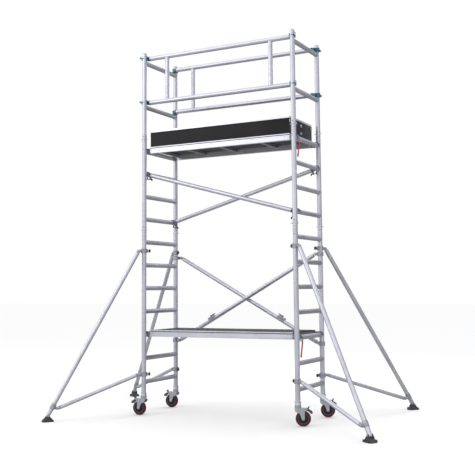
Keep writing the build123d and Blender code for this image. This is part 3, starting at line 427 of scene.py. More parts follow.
class Shape:
    """A mesh put together from turned, swept and cut-out parts."""

    def __init__(self):
        self.mesh = bmesh.new()

    def ring(self, points):
        return [self.mesh.verts.new(point) for point in points]

    def face(self, verts):
        if len(set(verts)) > 2:
            self.mesh.faces.new([v for i, v in enumerate(verts) if v is not verts[i - 1]])

    def band(self, first, second):
        """Faces between two rings; a ring of one point is a pole."""
        count = max(len(first), len(second))
        for i in range(count):
            j = (i + 1) % count
            corners = [first[i % len(first)], first[j % len(first)]]
            corners += [second[j % len(second)], second[i % len(second)]]
            self.face(corners)

    def skin(self, rows, loop=False):
        """Join rings into a closed skin, flat at both ends or joined end to end."""
        rings = [self.ring(row) for row in rows]
        for first, second in zip(rings, rings[1:]):
            self.band(first, second)
        if loop:
            self.band(rings[-1], rings[0])
        else:
            for end in (rings[0], rings[-1]):
                if len(end) > 2:
                    self.mesh.faces.new(end)
        return self

    def turn(self, profile, at, steps=32, loop=False):
        """Turn a profile of (radius, height) about the Z axis of at."""
        rows = []
        for radius, rise in profile:
            if radius < 1e-6:
                rows.append([at @ Vector((0, 0, rise))])
                continue
            angles = [2 * pi * i / steps for i in range(steps)]
            rows.append([at @ Vector((radius * cos(a), radius * sin(a), rise)) for a in angles])
        return self.skin(rows, loop)

    def slab(self, outline, at, low, high, edge=0.0008):
        """An outline in the XY plane of at, given thickness and chamfered edges."""
        inner = inset(outline, edge)
        rows = [(inner, low), (outline, low + edge), (outline, high - edge), (inner, high)]
        return self.skin([[at @ Vector((x, y, z)) for x, y in line] for line, z in rows])

    def block(self, low, high, edge=0.0008, at=Matrix()):
        """A box given by two corners, with chamfered edges."""
        (x0, x1), (y0, y1), (z0, z1) = [sorted(pair) for pair in zip(low, high)]
        outline = [(x0, y0), (x1, y0), (x1, y1), (x0, y1)]
        return self.slab(outline, at, z0, z1, edge)

    def sweep(self, path, radius, steps=12, flat=1.0):
        """A round or flattened bar along a path, with rounded ends; radius may be a list."""
        path = [Vector(point) for point in path]
        widths = radius if isinstance(radius, list) else [radius] * len(path)
        rows, side = [], None
        last = len(path) - 1
        for i, point in enumerate(path):
            ahead = (path[min(i + 1, last)] - path[max(i - 1, 0)]).normalized()
            if side is None:
                side = ahead.orthogonal().normalized()
            side = (side - ahead * side.dot(ahead)).normalized()
            up = ahead.cross(side)
            width = widths[i]
            radii = [(0, width)]
            if i == 0:
                radii = [(-width * 0.35, width * 0.7), (0, width)]
            elif i == last:
                radii = [(0, width), (width * 0.35, width * 0.7)]
            for shift, wide in radii:
                centre = point + ahead * shift
                ring = []
                for k in range(steps):
                    angle = 2 * pi * k / steps
                    ring.append(centre + (side * cos(angle) * flat + up * sin(angle)) * wide)
                rows.append(ring)
        return self.skin(rows)

    def limb(self, points, at, steps=28):
        """A cast arm through (x, y, z, radius) points of at, smoothly curved and tapered."""
        path = smooth_path(points)
        return self.sweep([at @ point.to_3d() for point in path], [point.w for point in path], steps)

    def piece(self, name, body, finish, slot, replaces=(), smooth=35):
        """Make the mesh a finished piece that rides on a body."""
        bmesh.ops.remove_doubles(self.mesh, verts=self.mesh.verts, dist=1e-7)
        bmesh.ops.recalc_face_normals(self.mesh, faces=self.mesh.faces)
        data = bpy.data.meshes.new(name)
        self.mesh.to_mesh(data)
        self.mesh.free()
        return register_piece(data, name, body, finish, replaces, smooth)


def register_piece(data, name, body, finish, replaces=(), smooth=35):
    """Give a mesh its object, material and body."""
    if not data.polygons:
        raise RuntimeError(f"{name} has no faces")
    data.shade_smooth()
    data.set_sharp_from_angle(angle=radians(smooth))
    data.materials.clear()
    data.materials.append(FINISHES[finish])
    item = bpy.data.objects.new(name, data)
    bpy.context.scene.collection.objects.link(item)
    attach(item, body)
    if replaces:
        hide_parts(*replaces)
    return item


def inset(outline, depth):
    """An outline moved inwards by depth, corner by corner."""
    count = len(outline)
    area = sum(
        outline[i - 1][0] * outline[i][1] - outline[i][0] * outline[i - 1][1] for i in range(count)
    )
    way = 1 if area > 0 else -1
    moved = []
    for i in range(count):
        here = Vector(outline[i])
        before = (here - Vector(outline[i - 1])).normalized()
        after = (Vector(outline[(i + 1) % count]) - here).normalized()
        first = Vector((-before.y, before.x)) * way
        second = Vector((-after.y, after.x)) * way
        bisector = first + second
        scale = 2 / max(bisector.length_squared, 0.8)
        moved.append(here + bisector * (depth * scale))
    return [tuple(point) for point in moved]


def arc(centre, radius, start, end, count):
    """Points along an arc, angles in degrees."""
    angles = [radians(start + (end - start) * i / (count - 1)) for i in range(count)]
    return [(centre[0] + radius * cos(a), centre[1] + radius * sin(a)) for a in angles]


def smooth_path(points, steps=5):
    """A rounder path through the points."""
    points = [Vector(point) for point in points]
    path = []
    for i in range(len(points) - 1):
        before, start, end, after = (
            points[max(i - 1, 0)], points[i], points[i + 1], points[min(i + 2, len(points) - 1)],
        )
        for k in range(steps):
            t = k / steps
            path.append(
                0.5 * (2 * start + (end - before) * t
                       + (2 * before - 5 * start + 4 * end - after) * t * t
                       + (3 * start - before - 3 * end + after) * t * t * t)
            )
    return path + [points[-1]]


# ---- repeated things made by geometry nodes ---------------------------------------------
class Repeat(Graph):
    """A geometry tree with named inputs for its sizes."""

    def __init__(self, name, **sizes):
        super().__init__(bpy.data.node_groups.new(name, "GeometryNodeTree"))
        face = self.tree.interface
        face.new_socket("Geometry", in_out="INPUT", socket_type="NodeSocketGeometry")
        for label, default in sizes.items():
            kind = "NodeSocketInt" if isinstance(default, int) else "NodeSocketFloat"
            socket = face.new_socket(label.replace("_", " "), in_out="INPUT", socket_type=kind)
            socket.default_value = default
        face.new_socket("Material", in_out="INPUT", socket_type="NodeSocketMaterial")
        face.new_socket("Geometry", in_out="OUTPUT", socket_type="NodeSocketGeometry")
        self.group = self.tree.nodes.new("NodeGroupInput")

    def given(self, label):
        return Wire(self, self.group.outputs[label])

    def close(self, shape):
        """Realize the instances, set the material and end the tree."""
        real = self.add("GeometryNodeRealizeInstances", {0: shape})
        named = {"Geometry": real, "Material": self.given("Material")}
        real = self.add("GeometryNodeSetMaterial", named)
        out = self.tree.nodes.new("NodeGroupOutput")
        self.tree.links.new(real.socket, out.inputs[0])
        return self.tree

    def scatter(self, shape):
        """Put a shape on every point, its Z along the point's aim."""
        aim = self.add("GeometryNodeInputNamedAttribute", {"Name": "aim"}, data_type="FLOAT_VECTOR")
        turned = self.add("FunctionNodeAlignRotationToVector", {"Vector": aim}, axis="Z")
        values = {"Points": self.given("Geometry"), "Instance": shape, "Rotation": turned}
        return self.add("GeometryNodeInstanceOnPoints", values)

    def turned(self, radius, rise, sides, top):
        """A low cone or prism that stands on the origin."""
        values = {"Vertices": sides, "Radius Top": top, "Radius Bottom": radius, "Depth": rise}
        return self.add("GeometryNodeMeshCone", values)


def rivet_tree():
    """Domed rivets with a flat rim."""
    tree = Repeat("Rivets", Diameter=0.01, Height=0.0022)
    radius = tree.given("Diameter") * 0.5
    ball = tree.add("GeometryNodeMeshUVSphere", {"Segments": 12, "Rings": 6, "Radius": 1.0})
    flat = tree.add("ShaderNodeCombineXYZ", {0: radius, 1: radius, 2: tree.given("Height")})
    dome = tree.add("GeometryNodeTransform", {"Geometry": ball, "Scale": flat})
    return tree.close(tree.scatter(dome))


def screw_tree():
    """Countersunk screw heads: a shallow dish with a raised rim."""
    tree = Repeat("Screws", Diameter=0.011, Height=0.0012)
    radius = tree.given("Diameter") * 0.5
    rise = tree.given("Height")
    head = tree.turned(radius, rise, 14, radius * 0.82)
    socket = tree.turned(radius * 0.42, rise * 0.4, 6, radius * 0.30)
    lift = tree.add("ShaderNodeCombineXYZ", {2: rise * 0.9})
    raised = tree.add("GeometryNodeTransform", {"Geometry": socket, "Translation": lift})
    both = tree.add("GeometryNodeJoinGeometry", {0: head})
    tree.tree.links.new(raised.socket, both.socket.node.inputs[0])
    return tree.close(tree.scatter(both))


def nut_tree():
    """A washer, a six sided nut and the end of its bolt."""
    tree = Repeat("Nuts", Width=0.02, Height=0.008)
    radius = tree.given("Width") * 0.5
    rise = tree.given("Height")
    parts = [
        (tree.turned(radius * 1.18, rise * 0.2, 20, radius * 1.18), 0.0),
        (tree.turned(radius, rise * 0.75, 6, radius), 0.2),
        (tree.turned(radius * 0.52, rise * 0.3, 12, radius * 0.42), 0.95),
    ]
    both = tree.tree.nodes.new("GeometryNodeJoinGeometry")
    for part, share in parts:
        lift = tree.add("ShaderNodeCombineXYZ", {2: rise * share})
        raised = tree.add("GeometryNodeTransform", {"Geometry": part, "Translation": lift})
        tree.tree.links.new(raised.socket, both.inputs[0])
    return tree.close(tree.scatter(Wire(tree, both.outputs[0])))


def weld_tree():
    """A rippled bead along each chain of edges."""
    tree = Repeat("Weld beads", Radius=0.003, Ripple=0.22)
    path = tree.add("GeometryNodeMeshToCurve", {0: tree.given("Geometry")})
    index = tree.add("GeometryNodeInputIndex")
    ripple = 1 + (index * 2.1).wave() * tree.given("Ripple")
    radius = ripple * tree.given("Radius")
    circle = tree.add("GeometryNodeCurvePrimitiveCircle", {"Resolution": 6, "Radius": 1.0})
    sized = tree.add("GeometryNodeSetCurveRadius", {"Curve": path, "Radius": radius})
    values = {"Curve": sized, "Profile Curve": circle}
    bead = tree.add("GeometryNodeCurveToMesh", values)
    scale = bead.socket.node.inputs.get("Scale")
    if scale is not None:
        tree.tree.links.new(radius.socket, scale)
    return tree.close(bead)


def rung_tree():
    """Fluted bars that lie along Y, one on each point."""
    tree = Repeat("Fluted rungs", Length=0.64, Radius=0.024, Flutes=20, Depth=0.001)
    flutes = tree.given("Flutes")
    half = tree.given("Length") * 0.5
    values = {"Resolution": flutes * 4, "Radius": tree.given("Radius")}
    circle = tree.add("GeometryNodeCurvePrimitiveCircle", values)
    index = tree.add("GeometryNodeInputIndex")
    share = 1 - (index * (pi / 2)).wave().spread(-1, 1) * tree.given("Depth") / tree.given("Radius")
    place = tree.add("GeometryNodeInputPosition")
    moved = tree.add("ShaderNodeVectorMath", {0: place, "Scale": share}, operation="SCALE")
    profile = tree.add("GeometryNodeSetPosition", {"Geometry": circle, "Position": moved})
    start = tree.add("ShaderNodeCombineXYZ", {1: 0 - half})
    end = tree.add("ShaderNodeCombineXYZ", {1: half})
    line = tree.add("GeometryNodeCurvePrimitiveLine", {"Start": start, "End": end})
    values = {"Curve": line, "Profile Curve": profile, "Fill Caps": True}
    bar = tree.add("GeometryNodeCurveToMesh", values)
    values = {"Points": tree.given("Geometry"), "Instance": bar}
    return tree.close(tree.add("GeometryNodeInstanceOnPoints", values))


def repeat(tree, name, body, finish, slot, points, edges=(), aims=None, replaces=(), smooth=35, **sizes):
    """Run a geometry tree on a mesh of points or chains, and keep the result as a plain mesh."""
    data = bpy.data.meshes.new(name + "_points")
    data.from_pydata([tuple(point) for point in points], list(edges), [])
    if aims:
        held = data.attributes.new("aim", "FLOAT_VECTOR", "POINT")
        held.data.foreach_set("vector", [value for aim in aims for value in aim])
    holder = bpy.data.objects.new(name + "_points", data)
    bpy.context.scene.collection.objects.link(holder)
    modifier = holder.modifiers.new("Repeat", "NODES")
    modifier.node_group = tree
    given = {item.name: item.identifier for item in tree.interface.items_tree if item.in_out == "INPUT"}
    for label, value in sizes.items():
        modifier[given[label.replace("_", " ")]] = value
    modifier[given["Material"]] = FINISHES[finish]
    bpy.context.view_layer.update()
    seen = holder.evaluated_get(bpy.context.evaluated_depsgraph_get())
    result = bpy.data.meshes.new_from_object(seen)
    bpy.data.objects.remove(holder)
    result.name = name
    return register_piece(result, name, body, finish, replaces, smooth)


TREES = {}


def saddle(centre, axis, radius, wall_radius, wall_axis, steps=40):
    """The line where a tube along axis meets the outside of another tube through centre."""
    axis, wall_axis = Vector(axis).normalized(), Vector(wall_axis).normalized()
    side = axis.cross(wall_axis).normalized()
    points = []
    for i in range(steps):
        angle = 2 * pi * i / steps
        across = radius * cos(angle)
        along = sqrt(max(wall_radius ** 2 - across ** 2, 0))
        points.append(Vector(centre) + axis * along + side * across + wall_axis * radius * sin(angle))
    return points


def chains(loops):
    """Points and edges of several closed lines."""
    points, edges = [], []
    for line in loops:
        start, count = len(points), len(line)
        points += line
        edges += [(start + i, start + (i + 1) % count) for i in range(count)]
    return points, edges


# ---- operators --------------------------------------------------------------------------
class TowerPart(bpy.types.Operator):
    """Shared by the operators that build the tower"""

    bl_idname = "tower.part"
    bl_label = "Tower part"
    bl_options = {"REGISTER", "UNDO"}

    def execute(self, context):
        self.build(context.scene.tower_sizes, context.scene.tower_colours)
        return {"FINISHED"}

    def build(self, sizes, colours):
        pass


class TOWER_OT_finishes(TowerPart):
    """Make the materials and the repeating trees, and give every CAD node its finish"""

    bl_idname = "tower.finishes"
    bl_label = "Finishes"

    def build(self, sizes, colours):
        FINISHES.update(make_finishes(colours))
        TREES.update(rivet=rivet_tree(), screw=screw_tree(), nut=nut_tree())
        TREES.update(weld=weld_tree(), rung=rung_tree())
        for node, item in frame["nodes"].items():
            item.data.materials.clear()
            item.data.materials.append(FINISHES[self.finish_of(node)])
        for name in ("upper", "lower"):
            self.sort_faces(frame["nodes"][f"{name}_deck_frame"].data)
            latch = frame["nodes"][f"wind_latch_{name}"].data
            latch.materials.append(FINISHES["zinc"])
            claw = joint_place(f"wind_latch_{name}_turn").z - 0.045
            for face in latch.polygons:
                if face.center.z > claw:
                    face.material_index = 1

    def sort_faces(self, mesh):
        """Give a platform frame's crossbars and cast hooks finishes of their own."""
        # The crossbars' darker finish is painted shade under the platform boards.
        mesh.materials.append(FINISHES["bar"])
        mesh.materials.append(FINISHES["cast"])
        beams = [box for box in solids("upper_deck_frame") if size(box).x > 1]
        inner = min(abs(y) for low, high in beams for y in (low.y, high.y))
        ends = beams[0][1].x
        for face in mesh.polygons:
            if abs(face.center.x) > ends:
                face.material_index = 2
            elif abs(face.center.y) < inner - 0.0005:
                face.material_index = 1

    def finish_of(self, node):
        starts = {
            "front_guardrail": "tube_x", "back_guardrail": "tube_x", "guardrail_claws": "claw",
            "guardrail_latches": "clip", "diagonal_braces": "tube_down", "brace_claws": "cast",
            "brace_triggers": "black", "fold_brace_upper": "tube_rise", "fold_brace_lower": "tube_rise",
            "fold_brace_collars": "pale_cast", "fold_brace_elbows": "pale_cast", "fold_brace_lock": "black",
            "stabiliser_struts": "tube_up", "stabiliser_clamps": "cast", "stabiliser_foot": "rubber",
            "castor_stems": "zinc", "castor_fork": "zinc", "castor_wheel": "tread",
            "castor_pedal": "black", "upper_deck_frame": "beam", "lower_deck_frame": "beam",
            "upper_deck_boards": "board", "lower_deck_board": "board", "hatch_hinges": "zinc",
            "hatch": "board", "wind_latch": "red", "toe_boards": "toe", "toe_board_caps": "beam",
            "toe_board_hinges": "zinc", "upright_caps": "cap", "locking_clips": "clip",
        }
        for start, finish in starts.items():
            if node.startswith(start):
                return finish
        return "tube_up"


class TOWER_OT_frames(TowerPart):
    """Build the ladder frames: uprights with chamfered ends, fluted rungs and their welds"""

    bl_idname = "tower.frames"
    bl_label = "Ladder frames"

    def build(self, sizes, colours):
        for node in FRAMES:
            self.uprights(node, sizes)
            self.rungs(node, sizes)

    def uprights(self, node, sizes):
        shape = Shape()
        wall = 0.002
        edge = sizes.tube_edge
        for low, high in POSTS[node]:
            centre = (low + high) / 2
            bore = TUBE_R - wall
            profile = [(bore, low.z), (TUBE_R - edge, low.z), (TUBE_R, low.z + edge)]
            profile += [(TUBE_R, high.z - edge), (TUBE_R - edge, high.z), (bore, high.z)]
            shape.turn(profile, Matrix.Translation((centre.x, centre.y, 0)), 48, loop=True)
        shape.piece(f"{node}_uprights", "tower", "tube_up", "tube_aluminium", [node])

    def rungs(self, node, sizes):
        centres = [middle(box) for box in RUNGS[node]]
        overlap = 0.004
        repeat(
            TREES["rung"], f"{node}_rungs", "tower", "rung", "tube_aluminium", centres,
            Length=2 * (HALF_Y - overlap), Radius=RUNG_R, Flutes=sizes.flutes,
            Depth=sizes.flute_depth, replaces=[node], smooth=75,
        )
        loops = []
        for centre in centres:
            for end in (-1, 1):
                upright = (centre.x, end * HALF_Y, centre.z)
                loops.append(saddle(upright, (0, -end, 0), RUNG_R, TUBE_R, UP))
        points, edges = chains(loops)
        repeat(
            TREES["weld"], f"{node}_welds", "tower", "weld", "tube_aluminium", points, edges,
            Radius=sizes.weld, replaces=[node], smooth=60,
        )


class TOWER_OT_joins(TowerPart):
    """Add the seams' rivets and shadow lines, the wire locking clips and the castors' collars"""

    bl_idname = "tower.joins"
    bl_label = "Seams and clips"

    def build(self, sizes, colours):
        self.rivets(sizes)
        self.clips(sizes)
        self.bands()
        self.collars()

    def bands(self):
        """Black rings painted as shade: the shadow gaps at the seams, and a swaged line above and below
        each, painted dark as its shade.
        """
        shape = Shape()
        lines = ((0, 0.0032, -0.0006), (-0.052, 0.0012, 0.0003), (0.052, 0.0012, 0.0003))
        for side, end in CORNERS.values():
            for seam in SEAMS:
                for rise, tall, out in lines:
                    at = Matrix.Translation((side * HALF_X, end * HALF_Y, seam + rise))
                    outer, half = TUBE_R + out, tall / 2
                    profile = [(TUBE_R - 0.0015, -half), (outer, -half), (outer, half)]
                    shape.turn(profile + [(TUBE_R - 0.0015, half)], at, 36, loop=True)
        # The black finish here is painted shadow in the seam gaps and on the swaged lines, not a black
        # part.
        shape.piece("seam_painted_shadows", "tower", "black", "black_plastic")

    def collars(self):
        """A collar round each upright's lower end, over the castor's stem."""
        shape = Shape()
        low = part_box("base_frame_left")[0].z
        for side, end in CORNERS.values():
            at = Matrix.Translation((side * HALF_X, end * HALF_Y, low))
            outer = TUBE_R + 0.0045
            profile = [(TUBE_R - 0.001, 0.001), (outer - 0.001, 0.001), (outer, 0.002)]
            profile += [(outer, 0.019), (TUBE_R + 0.0015, 0.0245), (TUBE_R - 0.001, 0.025)]
            shape.turn(profile, at, 36, loop=True)
        shape.piece("castor_collars", "tower", "tube_up", "tube_aluminium")

    def rivets(self, sizes):
        points, aims = [], []
        for side, end in CORNERS.values():
            for seam in SEAMS:
                for rise in (-0.075, -0.03, 0.065):
                    for angle in (90 * end, 0, 180):
                        aim = Vector((cos(radians(angle)), sin(radians(angle)), 0))
                        axis = Vector((side * HALF_X, end * HALF_Y, seam + rise))
                        points.append(axis + aim * TUBE_R)
                        aims.append(aim)
        repeat(
            TREES["rivet"], "seam_rivets", "tower", "black", "clip_steel", points,
            aims=aims, Diameter=sizes.rivet, Height=0.0018,
        )

    def clips(self, sizes):
        shape = Shape()
        wire = sizes.clip_wire / 2
        for low, high in solids("locking_clips"):
            centre = (low + high) / 2
            side = 1 if centre.x > 0 else -1
            end = 1 if centre.y > 0 else -1
            x, y, z = side * HALF_X, end * HALF_Y, centre.z
            reach = high.x - low.x
            out = reach / 2 - wire
            bow = TUBE_R + wire + 0.0006
            points = [(x + side * out, y, z), (x - side * (bow + 0.004), y, z)]
            points.append((x - side * (bow + 0.009), y + end * 0.004, z + 0.003))
            for angle in range(170, 5, -15):
                a = radians(angle)
                points.append((x + side * bow * cos(a), y + end * bow * sin(a), z + 0.004))
            points.append((x + side * (bow + 0.003), y + end * 0.003, z + 0.006))
            points.append((x + side * (bow + 0.009), y + end * 0.004, z + 0.009))
            shape.sweep(smooth_path(points, 3), wire, 8)
        shape.piece("locking_clip_wires", "tower", "clip", "clip_steel", ["locking_clips"], 50)


class TOWER_OT_guardrails(TowerPart):
    """Add the guardrails' welds, end sleeves, the claws' ribs and the latches' grips"""

    bl_idname = "tower.guardrails"
    bl_label = "Guardrails"

    def build(self, sizes, colours):
        for name in ("front", "back"):
            self.rail_details(name, sizes)
        self.claw_ribs()
        self.grips()

    def rail_details(self, name, sizes):
        boxes = solids(f"{name}_guardrail")
        rails = [box for box in boxes if size(box).x > 1]
        posts = [middle(box) for box in boxes if size(box).x < 0.1]
        loops = []
        for post in posts:
            for rail in rails:
                centre = Vector((post.x, post.y, middle(rail).z))
                way = 1 if post.z > centre.z else -1
                loops.append(saddle(centre, (0, 0, way), RUNG_R, TUBE_R, (1, 0, 0)))
        points, edges = chains(loops)
        repeat(
            TREES["weld"], f"{name}_guardrail_welds", "tower", "weld", "tube_aluminium",
            points, edges, Radius=sizes.weld, smooth=60,
        )
        sleeves = Shape()
        for low, high in rails:
            centre = (low + high) / 2
            for way in (-1, 1):
                start = Vector((way * (high.x - 0.007), centre.y, centre.z))
                outer, inner = TUBE_R + 0.0018, TUBE_R - 0.001
                profile = [(inner, 0), (outer - 0.001, 0), (outer, 0.001), (outer, 0.0075)]
                profile += [(outer - 0.002, 0.009), (inner - 0.006, 0.009), (inner, 0.0065)]
                sleeves.turn(profile, basis(start, (way, 0, 0)), 36, loop=True)
        sleeves.piece(f"{name}_guardrail_sleeves", "tower", "black", "black_plastic")

    def claw_ribs(self):
        shape = Shape()
        for low, high in solids("guardrail_claws"):
            centre = (low + high) / 2
            side = 1 if centre.x > 0 else -1
            end = 1 if centre.y > 0 else -1
            x, y = side * HALF_X, end * HALF_Y
            z = (low.z + high.z) / 2
            at = Matrix.Translation((x, y, 0)) @ Matrix.Diagonal((side, -end, 1, 1))
            inner, outer = TUBE_R + 0.006, TUBE_R + 0.0118
            for rise in (-0.0215, -0.0075, 0.0075, 0.0215):
                outline = arc((0, 0), outer, 8, 172, 22) + arc((0, 0), inner, 172, 8, 22)
                shape.slab(outline, at, z + rise - 0.0016, z + rise + 0.0016, 0.0006)
        shape.piece("guardrail_claw_ribs", "tower", "claw", "claw_plastic")

    def grips(self):
        for side in ("left", "right"):
            shape = Shape()
            for low, high in solids(f"guardrail_latches_{side}"):
                centre = (low + high) / 2
                way = 1 if centre.x > 0 else -1
                start = Vector((high.x if way > 0 else low.x, centre.y, centre.z))
                radius = (high.z - low.z) / 2
                for shift in (0.0015, 0.0045, 0.0075):
                    at = basis(start - Vector((way * shift, 0, 0)), (way, 0, 0))
                    profile = [(radius - 0.001, -0.001), (radius + 0.0006, -0.0005)]
                    profile += [(radius + 0.0006, 0.0005), (radius - 0.001, 0.001)]
                    shape.turn(profile, at, 20, loop=True)
            shape.piece(
                f"guardrail_latch_grips_{side}", f"guardrail_latches_{side}", "clip", "clip_steel"
            )


class TOWER_OT_braces(TowerPart):
    """Add the brace claws' rivets and the folding brace's nuts"""

    bl_idname = "tower.braces"
    bl_label = "Braces"

    def build(self, sizes, colours):
        self.claw_rivets(sizes)
        self.fold_nuts(sizes)

    def claw_rivets(self, sizes):
        points, aims = [], []
        for low, high in solids("brace_claws"):
            for end in (-1, 1):
                way = 1 if middle((low, high)).x < 0 else -1
                hook = way * -HALF_X
                face = middle((low, high)).y + end * 0.0152
                for rise in (0.016, -0.012):
                    place = Vector((hook + way * (RUNG_R + 0.006 + abs(rise) / 4), face, 0))
                    place.z = self.hook_height(low, high) + rise
                    points.append(place)
                    aims.append(Vector((0, end, 0)))
        repeat(
            TREES["rivet"], "brace_claw_rivets", "tower", "clip", "clip_steel", points,
            aims=aims, Diameter=sizes.rivet * 0.8, Height=0.0016,
        )

    def hook_height(self, low, high):
        heights = [middle(box).z for node in FRAMES for box in RUNGS[node]]
        return min(heights, key=lambda height: abs(height - (low.z + high.z) / 2))

    def fold_nuts(self, sizes):
        points, aims = [], []
        pins = []
        for node in ("fold_brace_collars", "fold_brace_elbows"):
            pins += [box for box in solids(node) if size(box).x < 0.0105]
        for low, high in pins:
            centre = (low + high) / 2
            for y, way in ((low.y, -1), (high.y, 1)):
                points.append(Vector((centre.x, y - way * 0.0055, centre.z)))
                aims.append(Vector((0, way, 0)))
        repeat(
            TREES["nut"], "fold_brace_nuts", "tower", "zinc", "zinc_steel", points, aims=aims,
            Width=sizes.nut, Height=0.0085, smooth=20,
        )


def spoke(corner):
    """The upright plane of a stabiliser: origin on the upright's axis, X outwards, Y upwards."""
    side, end = CORNERS[corner]
    foot = joint_place(f"foot_tilt_{corner}")
    axis = Vector((side * HALF_X, end * HALF_Y, 0))
    out = (foot - axis)
    out.z = 0
    reach = out.length
    out.normalize()
    across = out.cross(UP)
    at = Matrix((out, UP, across)).transposed().to_4x4()
    at.translation = axis
    return at, reach


class TOWER_OT_stabilisers(TowerPart):
    """Build the stabilisers' tubes, clamps with star knobs, curved cast ends and nuts"""

    bl_idname = "tower.stabilisers"
    bl_label = "Stabilisers"

    def build(self, sizes, colours):
        for corner in CORNERS:
            at = spoke(corner)[0]
            self.clamps(corner, at, solids(f"stabiliser_clamps_{corner}"), sizes)
            self.tubes_and_ends(corner, at, sizes)

    def clamps(self, corner, at, clamps, sizes):
        rings, knobs = Shape(), Shape()
        inner, outer = TUBE_R + 0.0003, TUBE_R + 0.009
        for box in clamps:
            z = middle(box).z
            half = 0.024
            centre = at @ Matrix.Translation((0, z, 0)) @ Matrix.Rotation(-pi / 2, 4, "X")
            profile = [(inner, -half), (outer - 0.002, -half), (outer, -half + 0.002)]
            profile += [(outer, -half + 0.008), (outer - 0.0025, -half + 0.010)]
            profile += [(outer - 0.0025, half - 0.010), (outer, half - 0.008)]
            profile += [(outer, half - 0.002), (outer - 0.002, half), (inner, half)]
            rings.turn(profile, centre, 40, loop=True)
            rings.block((-outer - 0.010, z - 0.016, -0.012), (-outer + 0.004, z + 0.016, 0.012), 0.002, at)
            self.knob(knobs, at, -outer - 0.018, z, sizes)
        rings.piece(
            f"stabiliser_clamp_rings_{corner}", f"stabiliser_{corner}", "pale_cast", "cast_alloy",
            [f"stabiliser_clamps_{corner}"],
        )
        knobs.piece(
            f"stabiliser_knobs_{corner}", f"stabiliser_{corner}", "black", "black_plastic",
            [f"stabiliser_clamps_{corner}"],
        )

    def knob(self, shape, at, start, z, sizes):
        """A five lobed knob on a threaded stub that points at the tower's inside."""
        lobes = []
        for i in range(50):
            angle = 2 * pi * i / 50
            radius = sizes.knob * (0.80 + 0.20 * cos(5 * angle))
            lobes.append((radius * cos(angle), radius * sin(angle)))
        face = at @ Matrix.Translation((start, z, 0)) @ Matrix.Rotation(-pi / 2, 4, "Y")
        shape.turn([(0, -0.012), (0.005, -0.012), (0.005, 0.006), (0, 0.006)], face, 16)
        shape.turn([(0, 0), (0.011, 0), (0.009, 0.006), (0, 0.006)], face, 20)
        shape.slab(lobes, face, 0.004, 0.018, 0.003)
        shape.turn([(0, 0.016), (0.009, 0.016), (0.007, 0.0195), (0, 0.0205)], face, 20)

    def tubes_and_ends(self, corner, at, sizes):
        """The strut and arm, the castings on their ends, and the bolts' nuts."""
        body = f"stabiliser_{corner}"
        pins = [box for box in solids(f"stabiliser_struts_{corner}") if size(box).z < 0.0105]
        local = sorted((at.inverted() @ middle(box) for box in pins), key=lambda point: -point.y)
        top, arm_top, arm_end, foot = local
        along, lower = (foot - top).normalized(), (arm_end - arm_top).normalized()
        shape = Shape()
        self.elbow(shape, at, top, along, 0.0225)
        self.elbow(shape, at, arm_top, lower, 0.0200)
        self.lug(shape, at, top, along, arm_end, lower)
        shape.piece(
            f"stabiliser_castings_{corner}", body, "pale_cast", "cast_alloy",
            [f"stabiliser_struts_{corner}"],
        )
        shape = Shape()
        self.tubes(shape, at, (top, foot, 0.0225), (arm_top, arm_end, 0.0200))
        shape.piece(
            f"stabiliser_tubes_{corner}", body, "tube_up", "tube_aluminium",
            [f"stabiliser_struts_{corner}"],
        )
        points, aims = [], []
        aim = (at.to_3x3() @ Vector((0, 0, 1))).normalized()
        bolt = foot - along * 0.090
        for pin, shift in ((top, 0.0155), (arm_top, 0.0155), (arm_end, 0.0160), (bolt, 0.0222)):
            for way in (-1, 1):
                points.append(at @ Vector((pin.x, pin.y, way * shift)))
                aims.append(aim * way)
        repeat(
            TREES["nut"], f"stabiliser_nuts_{corner}", body, "zinc", "zinc_steel", points,
            aims=aims, Width=sizes.nut * 0.85, Height=0.0065, smooth=20,
        )

    def elbow(self, shape, at, pin, along, radius):
        """A casting that curves out of a clamp, past the pin, and grips a tube's end."""
        spots = [(TUBE_R + 0.0065, pin.y, 0, 0.0140), (TUBE_R + 0.018, pin.y, 0, 0.0150)]
        necks = ((0.004, 0.0165), (0.016, 0.0180), (0.029, radius - 0.0008), (0.050, radius - 0.0025))
        for shift, wide in necks:
            spots.append((*(pin + along * shift), wide))
        shape.limb(spots, at)

    def tubes(self, shape, at, *runs):
        """The strut, rounded off about the foot's pin, and the arm below it."""
        ball = 0.0213
        for start, end, radius in runs:
            along = (end - start).normalized()
            reach = (end - start).length
            line = at @ Matrix.Translation(start) @ basis((0, 0, 0), along, (0, 0, 1))
            profile = [(0, 0.030), (radius - 0.0012, 0.030), (radius, 0.0312)]
            if end.y < 0.1:
                profile += [(radius, reach - 0.030), (ball, reach - 0.012)]
                profile += [(x, reach + y) for x, y in arc((0, 0), ball, 0, 90, 9)[:-1]]
                profile.append((0, reach + ball))
            else:
                profile += [(radius, reach - 0.0372), (radius - 0.0012, reach - 0.036)]
                profile.append((0, reach - 0.036))
            shape.turn(profile, line, 40)

    def lug(self, shape, at, top, along, arm_end, lower):
        """The casting that grips the arm's end and the ring that holds it to the strut."""
        root = top + along * (arm_end - top).dot(along)
        inwards = (root - arm_end).normalized()
        spots = []
        for way, shift, wide in (
            (lower, -0.060, 0.0175), (lower, -0.036, 0.0190), (lower, -0.010, 0.0165),
            (inwards, 0.010, 0.0155), (inwards, 0.032, 0.0165),
        ):
            spots.append((*(arm_end + way * shift), wide))
        shape.limb(spots, at)
        frame_at = at @ Matrix.Translation(root) @ basis((0, 0, 0), along, (0, 0, 1))
        radius, outer = 0.0222, 0.0265
        profile = [(radius, -0.030), (outer - 0.001, -0.030), (outer, -0.029)]
        profile += [(outer, 0.029), (outer - 0.001, 0.030), (radius, 0.030)]
        shape.turn(profile, frame_at, 32, loop=True)


